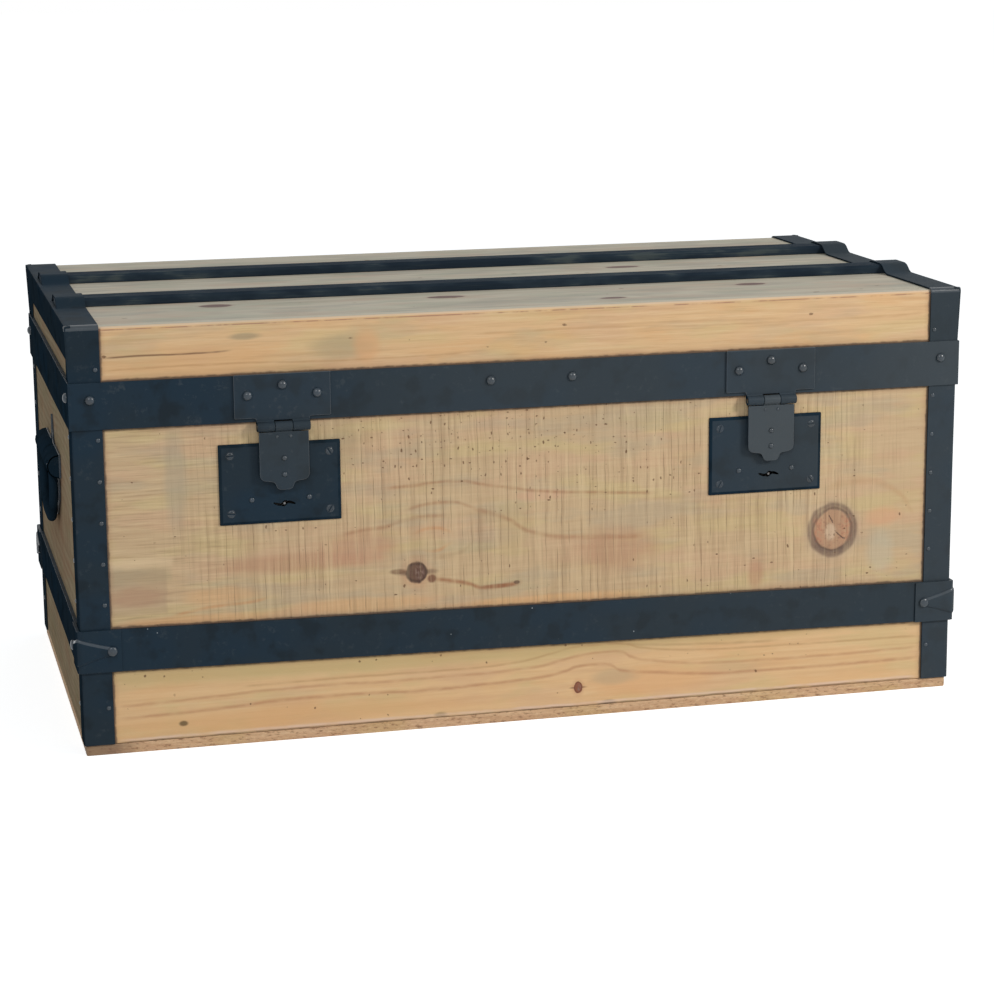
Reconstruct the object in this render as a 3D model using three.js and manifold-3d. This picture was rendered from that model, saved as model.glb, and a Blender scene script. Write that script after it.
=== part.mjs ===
// A pine sea chest with a flat lid, bound in sheet steel.
// Millimetres, +Z up. +X is the chest's right end, the front with its two hasps faces -Y,
// and the origin is under the middle of the chest, on the floor. The lid is modelled closed.
import * as THREE from "three";
import { mergeVertices } from "three/addons/utils/BufferGeometryUtils.js";
import Module from "manifold-3d";

const wasm = await Module();
wasm.setup();

// Overall sizes, over the steel corners
const chestWidth = 880;
const chestDepth = 465;
const seamHeight = 338; // where the lid meets the body
const lidHeight = 73; // from the seam to the top of the lid's planks

// Gaps and cuts
const seat = 0.3; // between two pieces that lie on each other
const overrun = 4; // how far a cutting tool passes the face it cuts
const sink = 0.4; // how far a rivet head reaches into its plate
const weldSpacing = 0.0001; // vertices nearer than this are one

// Boards
const wallThickness = 14;
const bottomThickness = 10;
const topThickness = 12;
const edgeChamfer = 2; // on the lid's top front and top rear edges
const bottomPlankCount = 2;

// Slats on the lid, over the joints of its planks
const slatWidth = 30;
const slatThickness = 8.5;
const slatSpacing = 172;
const slatChamfer = 2.5;

// Sheet steel corners and end strips
const steelThickness = 1.6;
const angleLeg = 29;
const stripDrop = 31; // how far an end strip turns down over the lid's end board
const stripFlare = 3; // the strip's corners stand out this much at the top
const stripBend = 4; // outer radius where the strip turns down
const stripRamp = 12; // length in which the strip climbs a slat
const bendSteps = 4;

// Bands
const lidBandWidth = 44.5;
const lidBandLip = 23; // how far the lid's band hangs below the seam
const lowerBandWidth = 41;
const lowerBandHeight = 97.5; // middle of the lower band
const lowerBandSkew = 11; // its left end is higher than its right end: it was nailed on askew

// Rivets and nails
const rivetRadius = 4.7;
const rivetHeight = 3.4;
const bandRivetRise = 6; // band rivets sit this much above the band's middle
const bandRivetCornerInset = 20;
const bandRivetSpacing = 81; // the two rivets at the middle of the band
const nailRadius = 2.2;
const nailHeight = 1.1;
const nailInset = 4.5; // from the angle's free edge
const nailCount = 5; // above the lower band, on each leg
const nailDrop = 10; // highest nail, below the lip of the lid's band
const nailRise = 23.5; // lowest of them, above the lower band
const lowNailShare = 0.65; // of the height under the lower band
const lidNailRise = 12; // above the lid's band
const headSides = 8;
const headSteps = 2;

// Corner clamps over the lower band
const clampMargin = 9; // the clamp's plate goes on past the nose
const clampThickness = 1.2;
const noseLength = 33;
const noseRise = 1.5;
const noseRootWidth = 29;
const noseTipWidth = 9;

// Lock sets: hinge plate, hasp, lock plate and lock case
const lockOffset = 242.5; // from the middle of the chest to each hasp
const lockPlateShift = -3.5; // both lock plates sit a little left of their hasps
const hingePlateWidth = 92;
const hingePlateThickness = 1.8;
const hingePlateRise = 0.9; // above the lid's band
const hingePlateInset = 3.6; // from the band's lower edge
const hingeRivetSpacing = 66;
const hingeRivetRise = 22; // outer rivets above the plate's lower edge
const hingeRivetStep = 9; // the middle rivet is higher by this
const hingeEdgeChamfer = 0.8;
const knuckleWidth = 51;
const knuckleRadius = 4.8;
const knucklePinRadius = 2.4;
const knuckleDrop = 4.5; // hinge line below the lid's band
const knuckleStandoff = 6; // hinge line in front of the steel corners
const knuckleCount = 3;
const knuckleGap = 0.4; // between two knuckles of a hinge
const runningClearance = 0.4; // between a pin and its bore
const haspWidth = 47.5;
const haspThickness = 2;
const haspDrop = 51.5; // from the hinge line to its shoulders
const haspTipDrop = 61; // and to the end of its nub
const haspCornerRadius = 6;
const haspTipWidth = 17;
const haspRivetRadius = 2.6;
const haspRivetHeight = 1.8;
const stapleTopDrop = 30.5; // from the hinge line to its upper leg
const stapleBottomDrop = 46;
const stapleReach = 18; // from the hinge line into the chest
const stapleRadius = 1.8;
const lockPlateWidth = 116.5;
const lockPlateHeight = 77.5;
const lockPlateThickness = 2.2;
const lockPlateBevel = 2.2;
const lockPlateDrop = 16.5; // from the hinge line to its upper edge
const screwInset = 10.8;
const screwRadius = 4;
const screwHeight = 0.7;
const plateRivetSpacing = 55;
const plateRivetRise = 5; // above the keyhole
const plateRivetRadius = 2.6;
const plateRivetHeight = 1.6;
const keyholeDrop = 75.5; // from the hinge line
const keyholeWidth = 22;
const keyholeSlot = 3.6;
const keyholeRadius = 3.2;
const keyPinRadius = 1.2;
const slotWidth = 6;
const slotClearance = 1.2; // above the staple
const slotSweep = 6; // below the staple, for its swing
const caseWidth = 64;
const caseBelowKeyhole = 9;
const caseAboveStaple = 7;
const caseDepth = 18;
const caseWall = 1.2;
const mortiseClearance = 0.5;
const boltWidth = 4.5;
const boltHeight = 8;
const boltSetback = 1.2; // from the staple, when it is drawn back

// Rear hinges
const rearHingeOffset = 250;
const leafWidth = 64;
const leafThickness = 1.8;
const leafMargin = 1; // from the leaf to the edge of its band
const barrelRadius = 4.2;
const barrelPinRadius = 2;
const barrelStandoff = 0.5; // from the band to the barrel
const leafSetback = 1.2; // from the barrel to the flat of the leaf
const leafRivetRadius = 3;
const leafRivetHeight = 1.8;
const leafRivetSpacing = 44;

// Drop handles on the ends: a ring under a hood, on a pointed plate
const handleDrop = 88; // from the seam to the ring's pivot
const handlePlateThickness = 2;
const handlePointRise = 40; // the plate's point, above the pivot
const handlePointWidth = 52; // at its root
const handlePointCurveShare = 0.2;
const handleKneeWidth = 116; // the plate behind the ring
const handleFootWidth = 50;
const handleFootDrop = 60;
const hoodWidth = 150;
const hoodHeight = 24;
const hoodWall = 1.6;
const hoodSteps = 8;
const ringRadius = 4.5;
const ringWidth = 124;
const ringStraight = 35;
const ringFootWidth = 60;
const ringFootDrop = 62;
const ringRunning = 0.6; // around the ring, in its hood
const ringSideGap = 1; // beside its arms

const barSides = 16;

// Places worked out from the sizes above
const halfWidth = chestWidth / 2;
const halfDepth = chestDepth / 2;
const topHeight = seamHeight + lidHeight;
const lowerBandLeftHeight = lowerBandHeight + lowerBandSkew / 2;
const lowerBandRightHeight = lowerBandHeight - lowerBandSkew / 2;
const boardJointHeight = lowerBandHeight; // the upper and lower body boards meet behind the band
const woodHalfWidth = halfWidth - steelThickness - seat;
const woodHalfDepth = halfDepth - steelThickness - seat;
const bandOut = seat + steelThickness; // a band's outer face, over the steel corners
const clampOut = bandOut + seat + clampThickness;
const clampLeg = noseLength + clampMargin;
const lidBandBottom = seamHeight - lidBandLip;
const lidBandTop = lidBandBottom + lidBandWidth;
const bodyTop = seamHeight - seat / 2;
const lidBottom = seamHeight + seat / 2;
const stripUnder = topHeight + seat;
const knuckleHeight = lidBandBottom - knuckleDrop;
const knuckleY = -(halfDepth + knuckleStandoff);
const stapleTopHeight = knuckleHeight - stapleTopDrop;
const stapleBottomHeight = knuckleHeight - stapleBottomDrop;
const stapleY = knuckleY + stapleReach;
const keyholeHeight = knuckleHeight - keyholeDrop;
const lockPlateTop = knuckleHeight - lockPlateDrop;
const lockPlateBottom = lockPlateTop - lockPlateHeight;
const caseBottom = keyholeHeight - caseBelowKeyhole;
const caseTop = stapleTopHeight + caseAboveStaple;
const caseInnerY = -woodHalfDepth + caseDepth;
const barrelY = halfDepth + bandOut + barrelStandoff + barrelRadius;
const frontReach = -knuckleY + knuckleRadius;
const rearReach = barrelY + barrelRadius;
const handleHeight = seamHeight - handleDrop;
const ringOut = woodHalfWidth + seat + handlePlateThickness + ringRadius + ringRunning;

// Solids

function solidOf(geometry) {
  const bare = geometry.index ? geometry.toNonIndexed() : geometry.clone();
  bare.deleteAttribute("normal");
  bare.deleteAttribute("uv");
  const merged = mergeVertices(bare, weldSpacing);
  return new wasm.Manifold(new wasm.Mesh({
    numProp: 3,
    vertProperties: Float32Array.from(merged.attributes.position.array),
    triVerts: Uint32Array.from(merged.index.array),
  }));
}

function geometryOf(manifold) {
  const mesh = manifold.getMesh();
  const indexed = new THREE.BufferGeometry();
  indexed.setAttribute("position", new THREE.BufferAttribute(mesh.vertProperties, 3));
  indexed.setIndex(new THREE.BufferAttribute(mesh.triVerts, 1));
  const flat = indexed.toNonIndexed();
  flat.computeVertexNormals();
  return flat;
}

function join(...solids) {
  return solids.reduce((whole, piece) => whole.add(piece));
}

function cut(whole, ...tools) {
  return tools.reduce((left, tool) => left.subtract(tool), whole);
}

// A block between two X, two Y and two Z values, in either order
function block([x0, x1], [y0, y1], [z0, z1]) {
  const geometry = new THREE.BoxGeometry(Math.abs(x1 - x0), Math.abs(y1 - y0), Math.abs(z1 - z0));
  geometry.translate((x0 + x1) / 2, (y0 + y1) / 2, (z0 + z1) / 2);
  return solidOf(geometry);
}

function shapeOf(points) {
  return new THREE.Shape(points.map(([a, b]) => new THREE.Vector2(a, b)));
}

// An outline of [x, z] points, or a THREE.Shape, carried from y0 to y1
function prismY(outline, [y0, y1]) {
  const shape = Array.isArray(outline) ? shapeOf(outline) : outline;
  const depth = Math.abs(y1 - y0);
  const geometry = new THREE.ExtrudeGeometry(shape, { depth, bevelEnabled: false });
  geometry.rotateX(Math.PI / 2);
  geometry.translate(0, Math.max(y0, y1), 0);
  return solidOf(geometry);
}

// An outline of [y, z] points, or a THREE.Shape, carried from x0 to x1
function prismX(outline, [x0, x1]) {
  const shape = Array.isArray(outline) ? shapeOf(outline) : outline;
  const depth = Math.abs(x1 - x0);
  const geometry = new THREE.ExtrudeGeometry(shape, { depth, bevelEnabled: false });
  geometry.rotateX(Math.PI / 2);
  geometry.rotateZ(Math.PI / 2);
  geometry.translate(Math.min(x0, x1), 0, 0);
  return solidOf(geometry);
}

// The turn that takes +Y to a direction
function turnTo(direction) {
  const from = new THREE.Vector3(0, 1, 0);
  return new THREE.Quaternion().setFromUnitVectors(from, direction.clone().normalize());
}

// A round bar between two points
function bar(from, to, radius, sides = barSides) {
  const start = new THREE.Vector3(...from);
  const along = new THREE.Vector3(...to).sub(start);
  const geometry = new THREE.CylinderGeometry(radius, radius, along.length(), sides);
  geometry.applyQuaternion(turnTo(along));
  const middle = start.addScaledVector(along, 0.5);
  geometry.translate(middle.x, middle.y, middle.z);
  return solidOf(geometry);
}

function ball(centre, radius) {
  const geometry = new THREE.SphereGeometry(radius, barSides, barSides / 2);
  geometry.translate(...centre);
  return solidOf(geometry);
}

// A domed head on a face whose outward normal is given
function head(centre, normal, radius, height) {
  const profile = [new THREE.Vector2(0, -sink), new THREE.Vector2(radius, -sink)];
  for (let step = 0; step <= headSteps; step += 1) {
    const angle = (step / headSteps) * (Math.PI / 2);
    const out = step === headSteps ? 0 : radius * Math.cos(angle);
    profile.push(new THREE.Vector2(out, height * Math.sin(angle)));
  }
  const geometry = new THREE.LatheGeometry(profile, headSides);
  geometry.applyQuaternion(turnTo(new THREE.Vector3(...normal)));
  geometry.translate(...centre);
  return solidOf(geometry);
}

// Scene graph

const chest = new THREE.Group();
const body = new THREE.Group();
const lid = new THREE.Group();
chest.add(body, lid);
chest.position.y = (frontReach - rearReach) / 2;

const finishes = {
  frontPine: { color: 0xc69c6d, roughness: 0.78, metalness: 0 },
  sidePine: { color: 0x9c8467, roughness: 0.85, metalness: 0 },
  topPine: { color: 0xaf9f84, roughness: 0.82, metalness: 0 },
  rawPine: { color: 0xb98f6a, roughness: 0.9, metalness: 0 },
  paintedSteel: { color: 0x2f3b45, roughness: 0.5, metalness: 0.35 },
  paintedSlat: { color: 0x2b363c, roughness: 0.6, metalness: 0 },
  bareSteel: { color: 0x6f7377, roughness: 0.4, metalness: 0.9 },
};

function place(group, name, manifold, finish) {
  const mesh = new THREE.Mesh(geometryOf(manifold), new THREE.MeshStandardMaterial(finishes[finish]));
  mesh.name = name;
  group.add(mesh);
}

const ends = [{ name: "left", side: -1 }, { name: "right", side: 1 }];
const faces = [{ name: "front", side: -1 }, { name: "rear", side: 1 }];
const locks = ends.map(({ name, side }) => {
  const x = side * lockOffset;
  return { name, x, plateX: x + lockPlateShift };
});

// Boards

function mortise(plateX) {
  const half = caseWidth / 2 + mortiseClearance;
  return block(
    [plateX - half, plateX + half],
    [-woodHalfDepth - overrun, -woodHalfDepth + wallThickness + overrun],
    [caseBottom - mortiseClearance, caseTop + mortiseClearance],
  );
}

function addBodyBoards() {
  const levels = [
    { name: "lower", z: [bottomThickness + seat, boardJointHeight - seat / 2] },
    { name: "upper", z: [boardJointHeight + seat / 2, bodyTop] },
  ];
  for (const { name, z } of levels) {
    for (const face of faces) {
      const outer = face.side * woodHalfDepth;
      const inner = outer - face.side * wallThickness;
      let board = block([-woodHalfWidth, woodHalfWidth], [outer, inner], z);
      if (face.side < 0 && name === "upper") board = cut(board, ...locks.map((lock) => mortise(lock.plateX)));
      place(body, `${face.name}_board_${name}`, board, "frontPine");
    }
    for (const end of ends) {
      const outer = end.side * woodHalfWidth;
      const inner = outer - end.side * wallThickness;
      const half = woodHalfDepth - wallThickness - seat;
      place(body, `${end.name}_end_board_${name}`, block([outer, inner], [-half, half], z), "sidePine");
    }
  }
  const plankWidth = (2 * woodHalfDepth - (bottomPlankCount - 1) * seat) / bottomPlankCount;
  for (let index = 0; index < bottomPlankCount; index += 1) {
    const y = -woodHalfDepth + index * (plankWidth + seat);
    const plank = block([-woodHalfWidth, woodHalfWidth], [y, y + plankWidth], [0, bottomThickness]);
    place(body, `bottom_plank_${index + 1}`, plank, "rawPine");
  }
}

function addLidBoards() {
  for (const face of faces) {
    const outer = face.side * woodHalfDepth;
    const inner = outer - face.side * wallThickness;
    const outline = [
      [inner, lidBottom],
      [outer, lidBottom],
      [outer, topHeight - edgeChamfer],
      [outer - face.side * edgeChamfer, topHeight],
      [inner, topHeight],
    ];
    place(lid, `lid_${face.name}_board`, prismX(outline, [-woodHalfWidth, woodHalfWidth]), "frontPine");
  }
  const half = woodHalfDepth - wallThickness - seat;
  const plankBottom = topHeight - topThickness;
  for (const end of ends) {
    const outer = end.side * woodHalfWidth;
    const inner = outer - end.side * wallThickness;
    const board = block([outer, inner], [-half, half], [lidBottom, plankBottom - seat]);
    place(lid, `lid_${end.name}_end_board`, board, "sidePine");
  }
  const joints = [-half, -slatSpacing / 2, slatSpacing / 2, half];
  for (let index = 0; index + 1 < joints.length; index += 1) {
    const from = joints[index] + (index > 0 ? seat / 2 : 0);
    const to = joints[index + 1] - (index + 2 < joints.length ? seat / 2 : 0);
    const plank = block([-woodHalfWidth, woodHalfWidth], [from, to], [plankBottom, topHeight]);
    place(lid, `lid_plank_${index + 1}`, plank, "topPine");
  }
  for (const face of faces) {
    const middle = (face.side * slatSpacing) / 2;
    const z = topHeight + seat;
    const outline = [
      [middle - slatWidth / 2, z],
      [middle + slatWidth / 2, z],
      [middle + slatWidth / 2, z + slatThickness - slatChamfer],
      [middle + slatWidth / 2 - slatChamfer, z + slatThickness],
      [middle - slatWidth / 2 + slatChamfer, z + slatThickness],
      [middle - slatWidth / 2, z + slatThickness - slatChamfer],
    ];
    place(lid, `lid_slat_${face.name}`, prismX(outline, [-woodHalfWidth, woodHalfWidth]), "paintedSlat");
  }
}

// Steel corners of the body, with the nails that hold them

function cornerAngle(endSide, faceSide) {
  const x = endSide * halfWidth;
  const y = faceSide * halfDepth;
  const z = [bottomThickness + seat, bodyTop];
  const across = block([x, x - endSide * angleLeg], [y, y - faceSide * steelThickness], z);
  const along = block([x, x - endSide * steelThickness], [y, y - faceSide * angleLeg], z);
  const highest = lidBandBottom - nailDrop;
  const lowest = lowerBandLeftHeight + lowerBandWidth / 2 + nailRise;
  const heights = [lowNailShare * (lowerBandRightHeight - lowerBandWidth / 2)];
  for (let row = 0; row < nailCount; row += 1) {
    heights.push(highest - (row / (nailCount - 1)) * (highest - lowest));
  }
  const nails = heights.flatMap((height) => [
    head([x - endSide * (angleLeg - nailInset), y, height], [0, faceSide, 0], nailRadius, nailHeight),
    head([x, y - faceSide * (angleLeg - nailInset), height], [endSide, 0, 0], nailRadius, nailHeight),
  ]);
  return join(across, along, ...nails);
}

function addCornerAngles() {
  for (const end of ends) {
    for (const face of faces) {
      place(body, `corner_angle_${face.name}_${end.name}`, cornerAngle(end.side, face.side), "paintedSteel");
    }
  }
}

// End strips of the lid: over the top and its slats, and down both faces

// The strip's outer or inner line from the front's foot over the top to the rear's foot, as [y, z] points
function stripLine(offset) {
  const out = halfDepth - steelThickness + offset;
  const top = stripUnder + offset;
  const bend = stripBend - steelThickness + offset;
  const rise = slatThickness;
  const climb = stripRamp - offset;
  const halfSlat = slatWidth / 2 + offset;
  const line = [[-out, lidBottom]];
  for (let step = 0; step <= bendSteps; step += 1) {
    const angle = (step / bendSteps) * (Math.PI / 2);
    line.push([-out + bend * (1 - Math.cos(angle)), top - bend * (1 - Math.sin(angle))]);
  }
  for (const face of faces) {
    const middle = (face.side * slatSpacing) / 2;
    line.push(
      [middle - halfSlat - climb, top],
      [middle - halfSlat, top + rise],
      [middle + halfSlat, top + rise],
      [middle + halfSlat + climb, top],
    );
  }
  for (let step = bendSteps; step >= 0; step -= 1) {
    const angle = (step / bendSteps) * (Math.PI / 2);
    line.push([out - bend * (1 - Math.cos(angle)), top - bend * (1 - Math.sin(angle))]);
  }
  line.push([out, lidBottom]);
  return line;
}

function endStrip(side) {
  const far = side * (halfWidth + stripFlare);
  const near = side * (halfWidth - angleLeg);
  const outer = stripLine(steelThickness);
  const inner = stripLine(0).reverse();
  let strip = prismX([...outer, ...inner], [near, far]);

  // The faces' legs taper from the flared top to the chest's own width at the lid's band
  const taper = [
    [side * halfWidth, lidBottom - overrun],
    [side * halfWidth, lidBandTop],
    [far, topHeight],
    [far + side * overrun, topHeight],
    [far + side * overrun, lidBottom - overrun],
  ];
  strip = cut(strip, prismY(taper, [-halfDepth - overrun, halfDepth + overrun]));

  // The side leg leans in from the flared edge to the end board
  const wall = side * steelThickness;
  const foot = topHeight - stripDrop;
  const drop = (topHeight - foot) / (topHeight - lidBandTop);
  const footX = far - side * stripFlare * drop;
  const lean = [
    [far, stripUnder + steelThickness],
    [far - wall, stripUnder + steelThickness],
    [far - wall, topHeight],
    [footX - wall, foot],
    [footX, foot],
    [far, topHeight],
  ];
  const sideLeg = prismY(lean, [-halfDepth, halfDepth]);

  // Below it, each corner wraps round on to the end board
  const wrapZ = [lidBottom, foot + steelThickness];
  const wraps = faces.map((face) => block(
    [side * halfWidth, side * halfWidth - wall],
    [face.side * halfDepth, face.side * (halfDepth - angleLeg)],
    wrapZ,
  ));
  const nails = faces.map((face) => head(
    [side * (halfWidth - angleLeg + nailInset), face.side * halfDepth, lidBandTop + lidNailRise],
    [0, face.side, 0],
    nailRadius,
    nailHeight,
  ));
  return join(strip, sideLeg, ...wraps, ...nails);
}

function addEndStrips() {
  for (const end of ends) place(lid, `lid_strip_${end.name}`, endStrip(end.side), "paintedSteel");
}

// Bands

function addLidBand() {
  const full = halfWidth + bandOut;
  const out = halfDepth + bandOut;
  const rivetZ = (lidBandBottom + lidBandTop) / 2 + bandRivetRise;
  const cornerX = full - bandRivetCornerInset;
  const rivetXs = [-cornerX, -bandRivetSpacing / 2, bandRivetSpacing / 2, cornerX];
  const front = block([-full, full], [-halfDepth - seat, -out], [lidBandBottom, lidBandTop]);
  const frontRivets = rivetXs.map((x) => head([x, -out, rivetZ], [0, -1, 0], rivetRadius, rivetHeight));
  place(lid, "lid_band_front", join(front, ...frontRivets), "paintedSteel");

  // At the back the band is sawn along the seam, so that the lid can turn
  const rearRivets = [-cornerX, cornerX].map(
    (x) => head([x, out, rivetZ], [0, 1, 0], rivetRadius, rivetHeight),
  );
  const rear = block([-full, full], [halfDepth + seat, out], [lidBottom, lidBandTop]);
  place(lid, "lid_band_rear", join(rear, ...rearRivets), "paintedSteel");
  const rearBody = block([-full, full], [halfDepth + seat, out], [lidBandBottom, bodyTop]);
  place(body, "body_band_rear", rearBody, "paintedSteel");

  for (const end of ends) {
    const x = [end.side * (halfWidth + seat), end.side * full];
    const strap = block(x, [-halfDepth, halfDepth], [lidBandBottom, lidBandTop]);
    const rivets = faces.map((face) => {
      const y = face.side * (out - bandRivetCornerInset);
      return head([end.side * full, y, rivetZ], [end.side, 0, 0], rivetRadius, rivetHeight);
    });
    place(lid, `lid_band_${end.name}`, join(strap, ...rivets), "paintedSteel");
  }
}

function lowerBandMiddle(x) {
  const share = (x + halfWidth) / chestWidth;
  return lowerBandLeftHeight + share * (lowerBandRightHeight - lowerBandLeftHeight);
}

function addLowerBand() {
  const full = halfWidth + bandOut;
  const half = lowerBandWidth / 2;
  for (const face of faces) {
    const outline = [
      [-full, lowerBandLeftHeight - half],
      [full, lowerBandRightHeight - half],
      [full, lowerBandRightHeight + half],
      [-full, lowerBandLeftHeight + half],
    ];
    const y = [face.side * (halfDepth + seat), face.side * (halfDepth + bandOut)];
    place(body, `lower_band_${face.name}`, prismY(outline, y), "paintedSteel");
  }
  for (const end of ends) {
    const middle = lowerBandMiddle(end.side * halfWidth);
    const x = [end.side * (halfWidth + seat), end.side * full];
    const strap = block(x, [-halfDepth, halfDepth], [middle - half, middle + half]);
    place(body, `lower_band_${end.name}`, strap, "paintedSteel");
  }
}

// A clamp is a bent plate over the band with a raised nose on each leg that narrows to a rivet
function cornerClamp(endSide, faceSide) {
  const x = endSide * (halfWidth + clampOut);
  const y = faceSide * (halfDepth + clampOut);
  const middle = lowerBandMiddle(endSide * halfWidth);
  const z = [middle - lowerBandWidth / 2, middle + lowerBandWidth / 2];
  const faceX = x - endSide * clampLeg;
  const faceY = y - faceSide * clampLeg;
  const across = block([x, faceX], [y, y - faceSide * clampThickness], z);
  const along = block([x, x - endSide * clampThickness], [y, faceY], z);

  const highX = x + endSide * noseRise;
  const highY = y + faceSide * noseRise;
  const noseOutline = (root, tip) => [
    [root, middle - noseRootWidth / 2],
    [root, middle + noseRootWidth / 2],
    [tip, middle + noseTipWidth / 2],
    [tip, middle - noseTipWidth / 2],
  ];
  const tipX = x - endSide * noseLength;
  const tipY = y - faceSide * noseLength;
  const noseAcross = prismY(noseOutline(highX, tipX), [y - faceSide * sink, highY]);
  const noseAlong = prismX(noseOutline(highY, tipY), [x - endSide * sink, highX]);
  const rivets = [
    head([tipX, highY, middle], [0, faceSide, 0], rivetRadius, rivetHeight / 2),
    head([highX, tipY, middle], [endSide, 0, 0], rivetRadius, rivetHeight / 2),
  ];
  const shanks = [
    bar([tipX, y - (faceSide * clampThickness) / 2, middle], [tipX, highY, middle], rivetRadius, headSides),
    bar([x - (endSide * clampThickness) / 2, tipY, middle], [highX, tipY, middle], rivetRadius, headSides),
  ];
  return join(across, along, noseAcross, noseAlong, ...shanks, ...rivets);
}

function addCornerClamps() {
  for (const end of ends) {
    for (const face of faces) {
      place(body, `corner_clamp_${face.name}_${end.name}`, cornerClamp(end.side, face.side), "paintedSteel");
    }
  }
}

// Hinges of the hasps and of the lid

// The X range of a knuckle
function knuckleSpan(x, width, index) {
  const share = width / knuckleCount;
  const from = x - width / 2 + index * share + knuckleGap / 2;
  return [from, from + share - knuckleGap];
}

// One of a hinge's knuckles, with its bore
function knuckle(x, y, z, width, index, radius, pinRadius) {
  const [from, to] = knuckleSpan(x, width, index);
  return cut(
    bar([from, y, z], [to, y, z], radius),
    bar([from - overrun, y, z], [to + overrun, y, z], pinRadius + runningClearance),
  );
}

// The bore, cut through plates that meet the barrel
function hingeBore(x, y, z, width, pinRadius) {
  const half = width / 2 + overrun;
  return bar([x - half, y, z], [x + half, y, z], pinRadius + runningClearance);
}

function addHaspHinge(lock) {
  const plateOut = -(halfDepth + bandOut + seat + hingePlateThickness);
  const plateIn = -(halfDepth + bandOut + seat);
  const plateBottom = lidBandBottom + hingePlateInset;
  const plateTop = lidBandTop + hingePlateRise;
  const half = hingePlateWidth / 2;
  const plate = block([lock.x - half, lock.x + half], [plateIn, plateOut], [plateBottom, plateTop]);
  const chamferOutline = [
    [plateOut - overrun, plateTop + overrun],
    [plateOut + hingeEdgeChamfer, plateTop + overrun],
    [plateOut + hingeEdgeChamfer, plateTop],
    [plateOut, plateTop - hingeEdgeChamfer],
    [plateOut - overrun, plateTop - hingeEdgeChamfer],
  ];
  const chamfer = prismX(chamferOutline, [lock.x - half - overrun, lock.x + half + overrun]);

  // Its neck turns out to the hinge line, on the two outer knuckles
  const neckHalf = knuckleWidth / 2;
  const neckOutline = [
    [plateIn, plateBottom + overrun],
    [plateOut, plateBottom + overrun],
    [plateOut, plateBottom],
    [knuckleY, knuckleHeight + knuckleRadius],
    [knuckleY, knuckleHeight],
    [plateIn, knuckleHeight],
  ];
  const neck = prismX(neckOutline, [lock.x - neckHalf, lock.x + neckHalf]);
  const middle = knuckleSpan(lock.x, knuckleWidth, 1);
  const notch = block(
    [middle[0] - knuckleGap, middle[1] + knuckleGap],
    [knuckleY - knuckleRadius - overrun, knuckleY + knuckleRadius + overrun],
    [knuckleHeight - knuckleRadius - overrun, knuckleHeight + knuckleRadius + knuckleGap],
  );
  const knuckles = [0, 2].map((index) => knuckle(
    lock.x, knuckleY, knuckleHeight, knuckleWidth, index, knuckleRadius, knucklePinRadius,
  ));
  const bore = hingeBore(lock.x, knuckleY, knuckleHeight, knuckleWidth, knucklePinRadius);
  const rivetZ = plateBottom + hingeRivetRise;
  const rivets = [-1, 0, 1].map((step) => head(
    [lock.x + (step * hingeRivetSpacing) / 2, plateOut, rivetZ + (step === 0 ? hingeRivetStep : 0)],
    [0, -1, 0],
    rivetRadius,
    rivetHeight,
  ));
  const leaf = join(cut(join(cut(plate, chamfer), cut(neck, notch)), bore), ...knuckles, ...rivets);
  place(lid, `hasp_hinge_plate_${lock.name}`, leaf, "paintedSteel");

  const pin = bar(
    [lock.x - neckHalf + knuckleGap, knuckleY, knuckleHeight],
    [lock.x + neckHalf - knuckleGap, knuckleY, knuckleHeight],
    knucklePinRadius,
  );
  place(lid, `hasp_pin_${lock.name}`, pin, "bareSteel");
}

// The hasp's plate seen from the front: straight sides, rounded corners and a pointed nub
function haspOutline(x) {
  const half = haspWidth / 2;
  const top = knuckleHeight - knuckleRadius - knuckleGap;
  const tipHalf = haspTipWidth / 2;
  const shoulder = knuckleHeight - haspDrop;
  const neck = shoulder - haspThickness;
  const tip = knuckleHeight - haspTipDrop;
  const shape = new THREE.Shape();
  shape.moveTo(x - half, top);
  shape.lineTo(x - half, shoulder + haspCornerRadius);
  shape.quadraticCurveTo(x - half, shoulder, x - half + haspCornerRadius, shoulder);
  shape.lineTo(x - tipHalf, neck);
  shape.quadraticCurveTo(x - tipHalf / 2, neck, x - tipHalf / 2, tip);
  shape.lineTo(x + tipHalf / 2, tip);
  shape.quadraticCurveTo(x + tipHalf / 2, neck, x + tipHalf, neck);
  shape.lineTo(x + half - haspCornerRadius, shoulder);
  shape.quadraticCurveTo(x + half, shoulder, x + half, shoulder + haspCornerRadius);
  shape.lineTo(x + half, top);
  shape.closePath();
  return new THREE.Shape(shape.getPoints(bendSteps));
}

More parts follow.
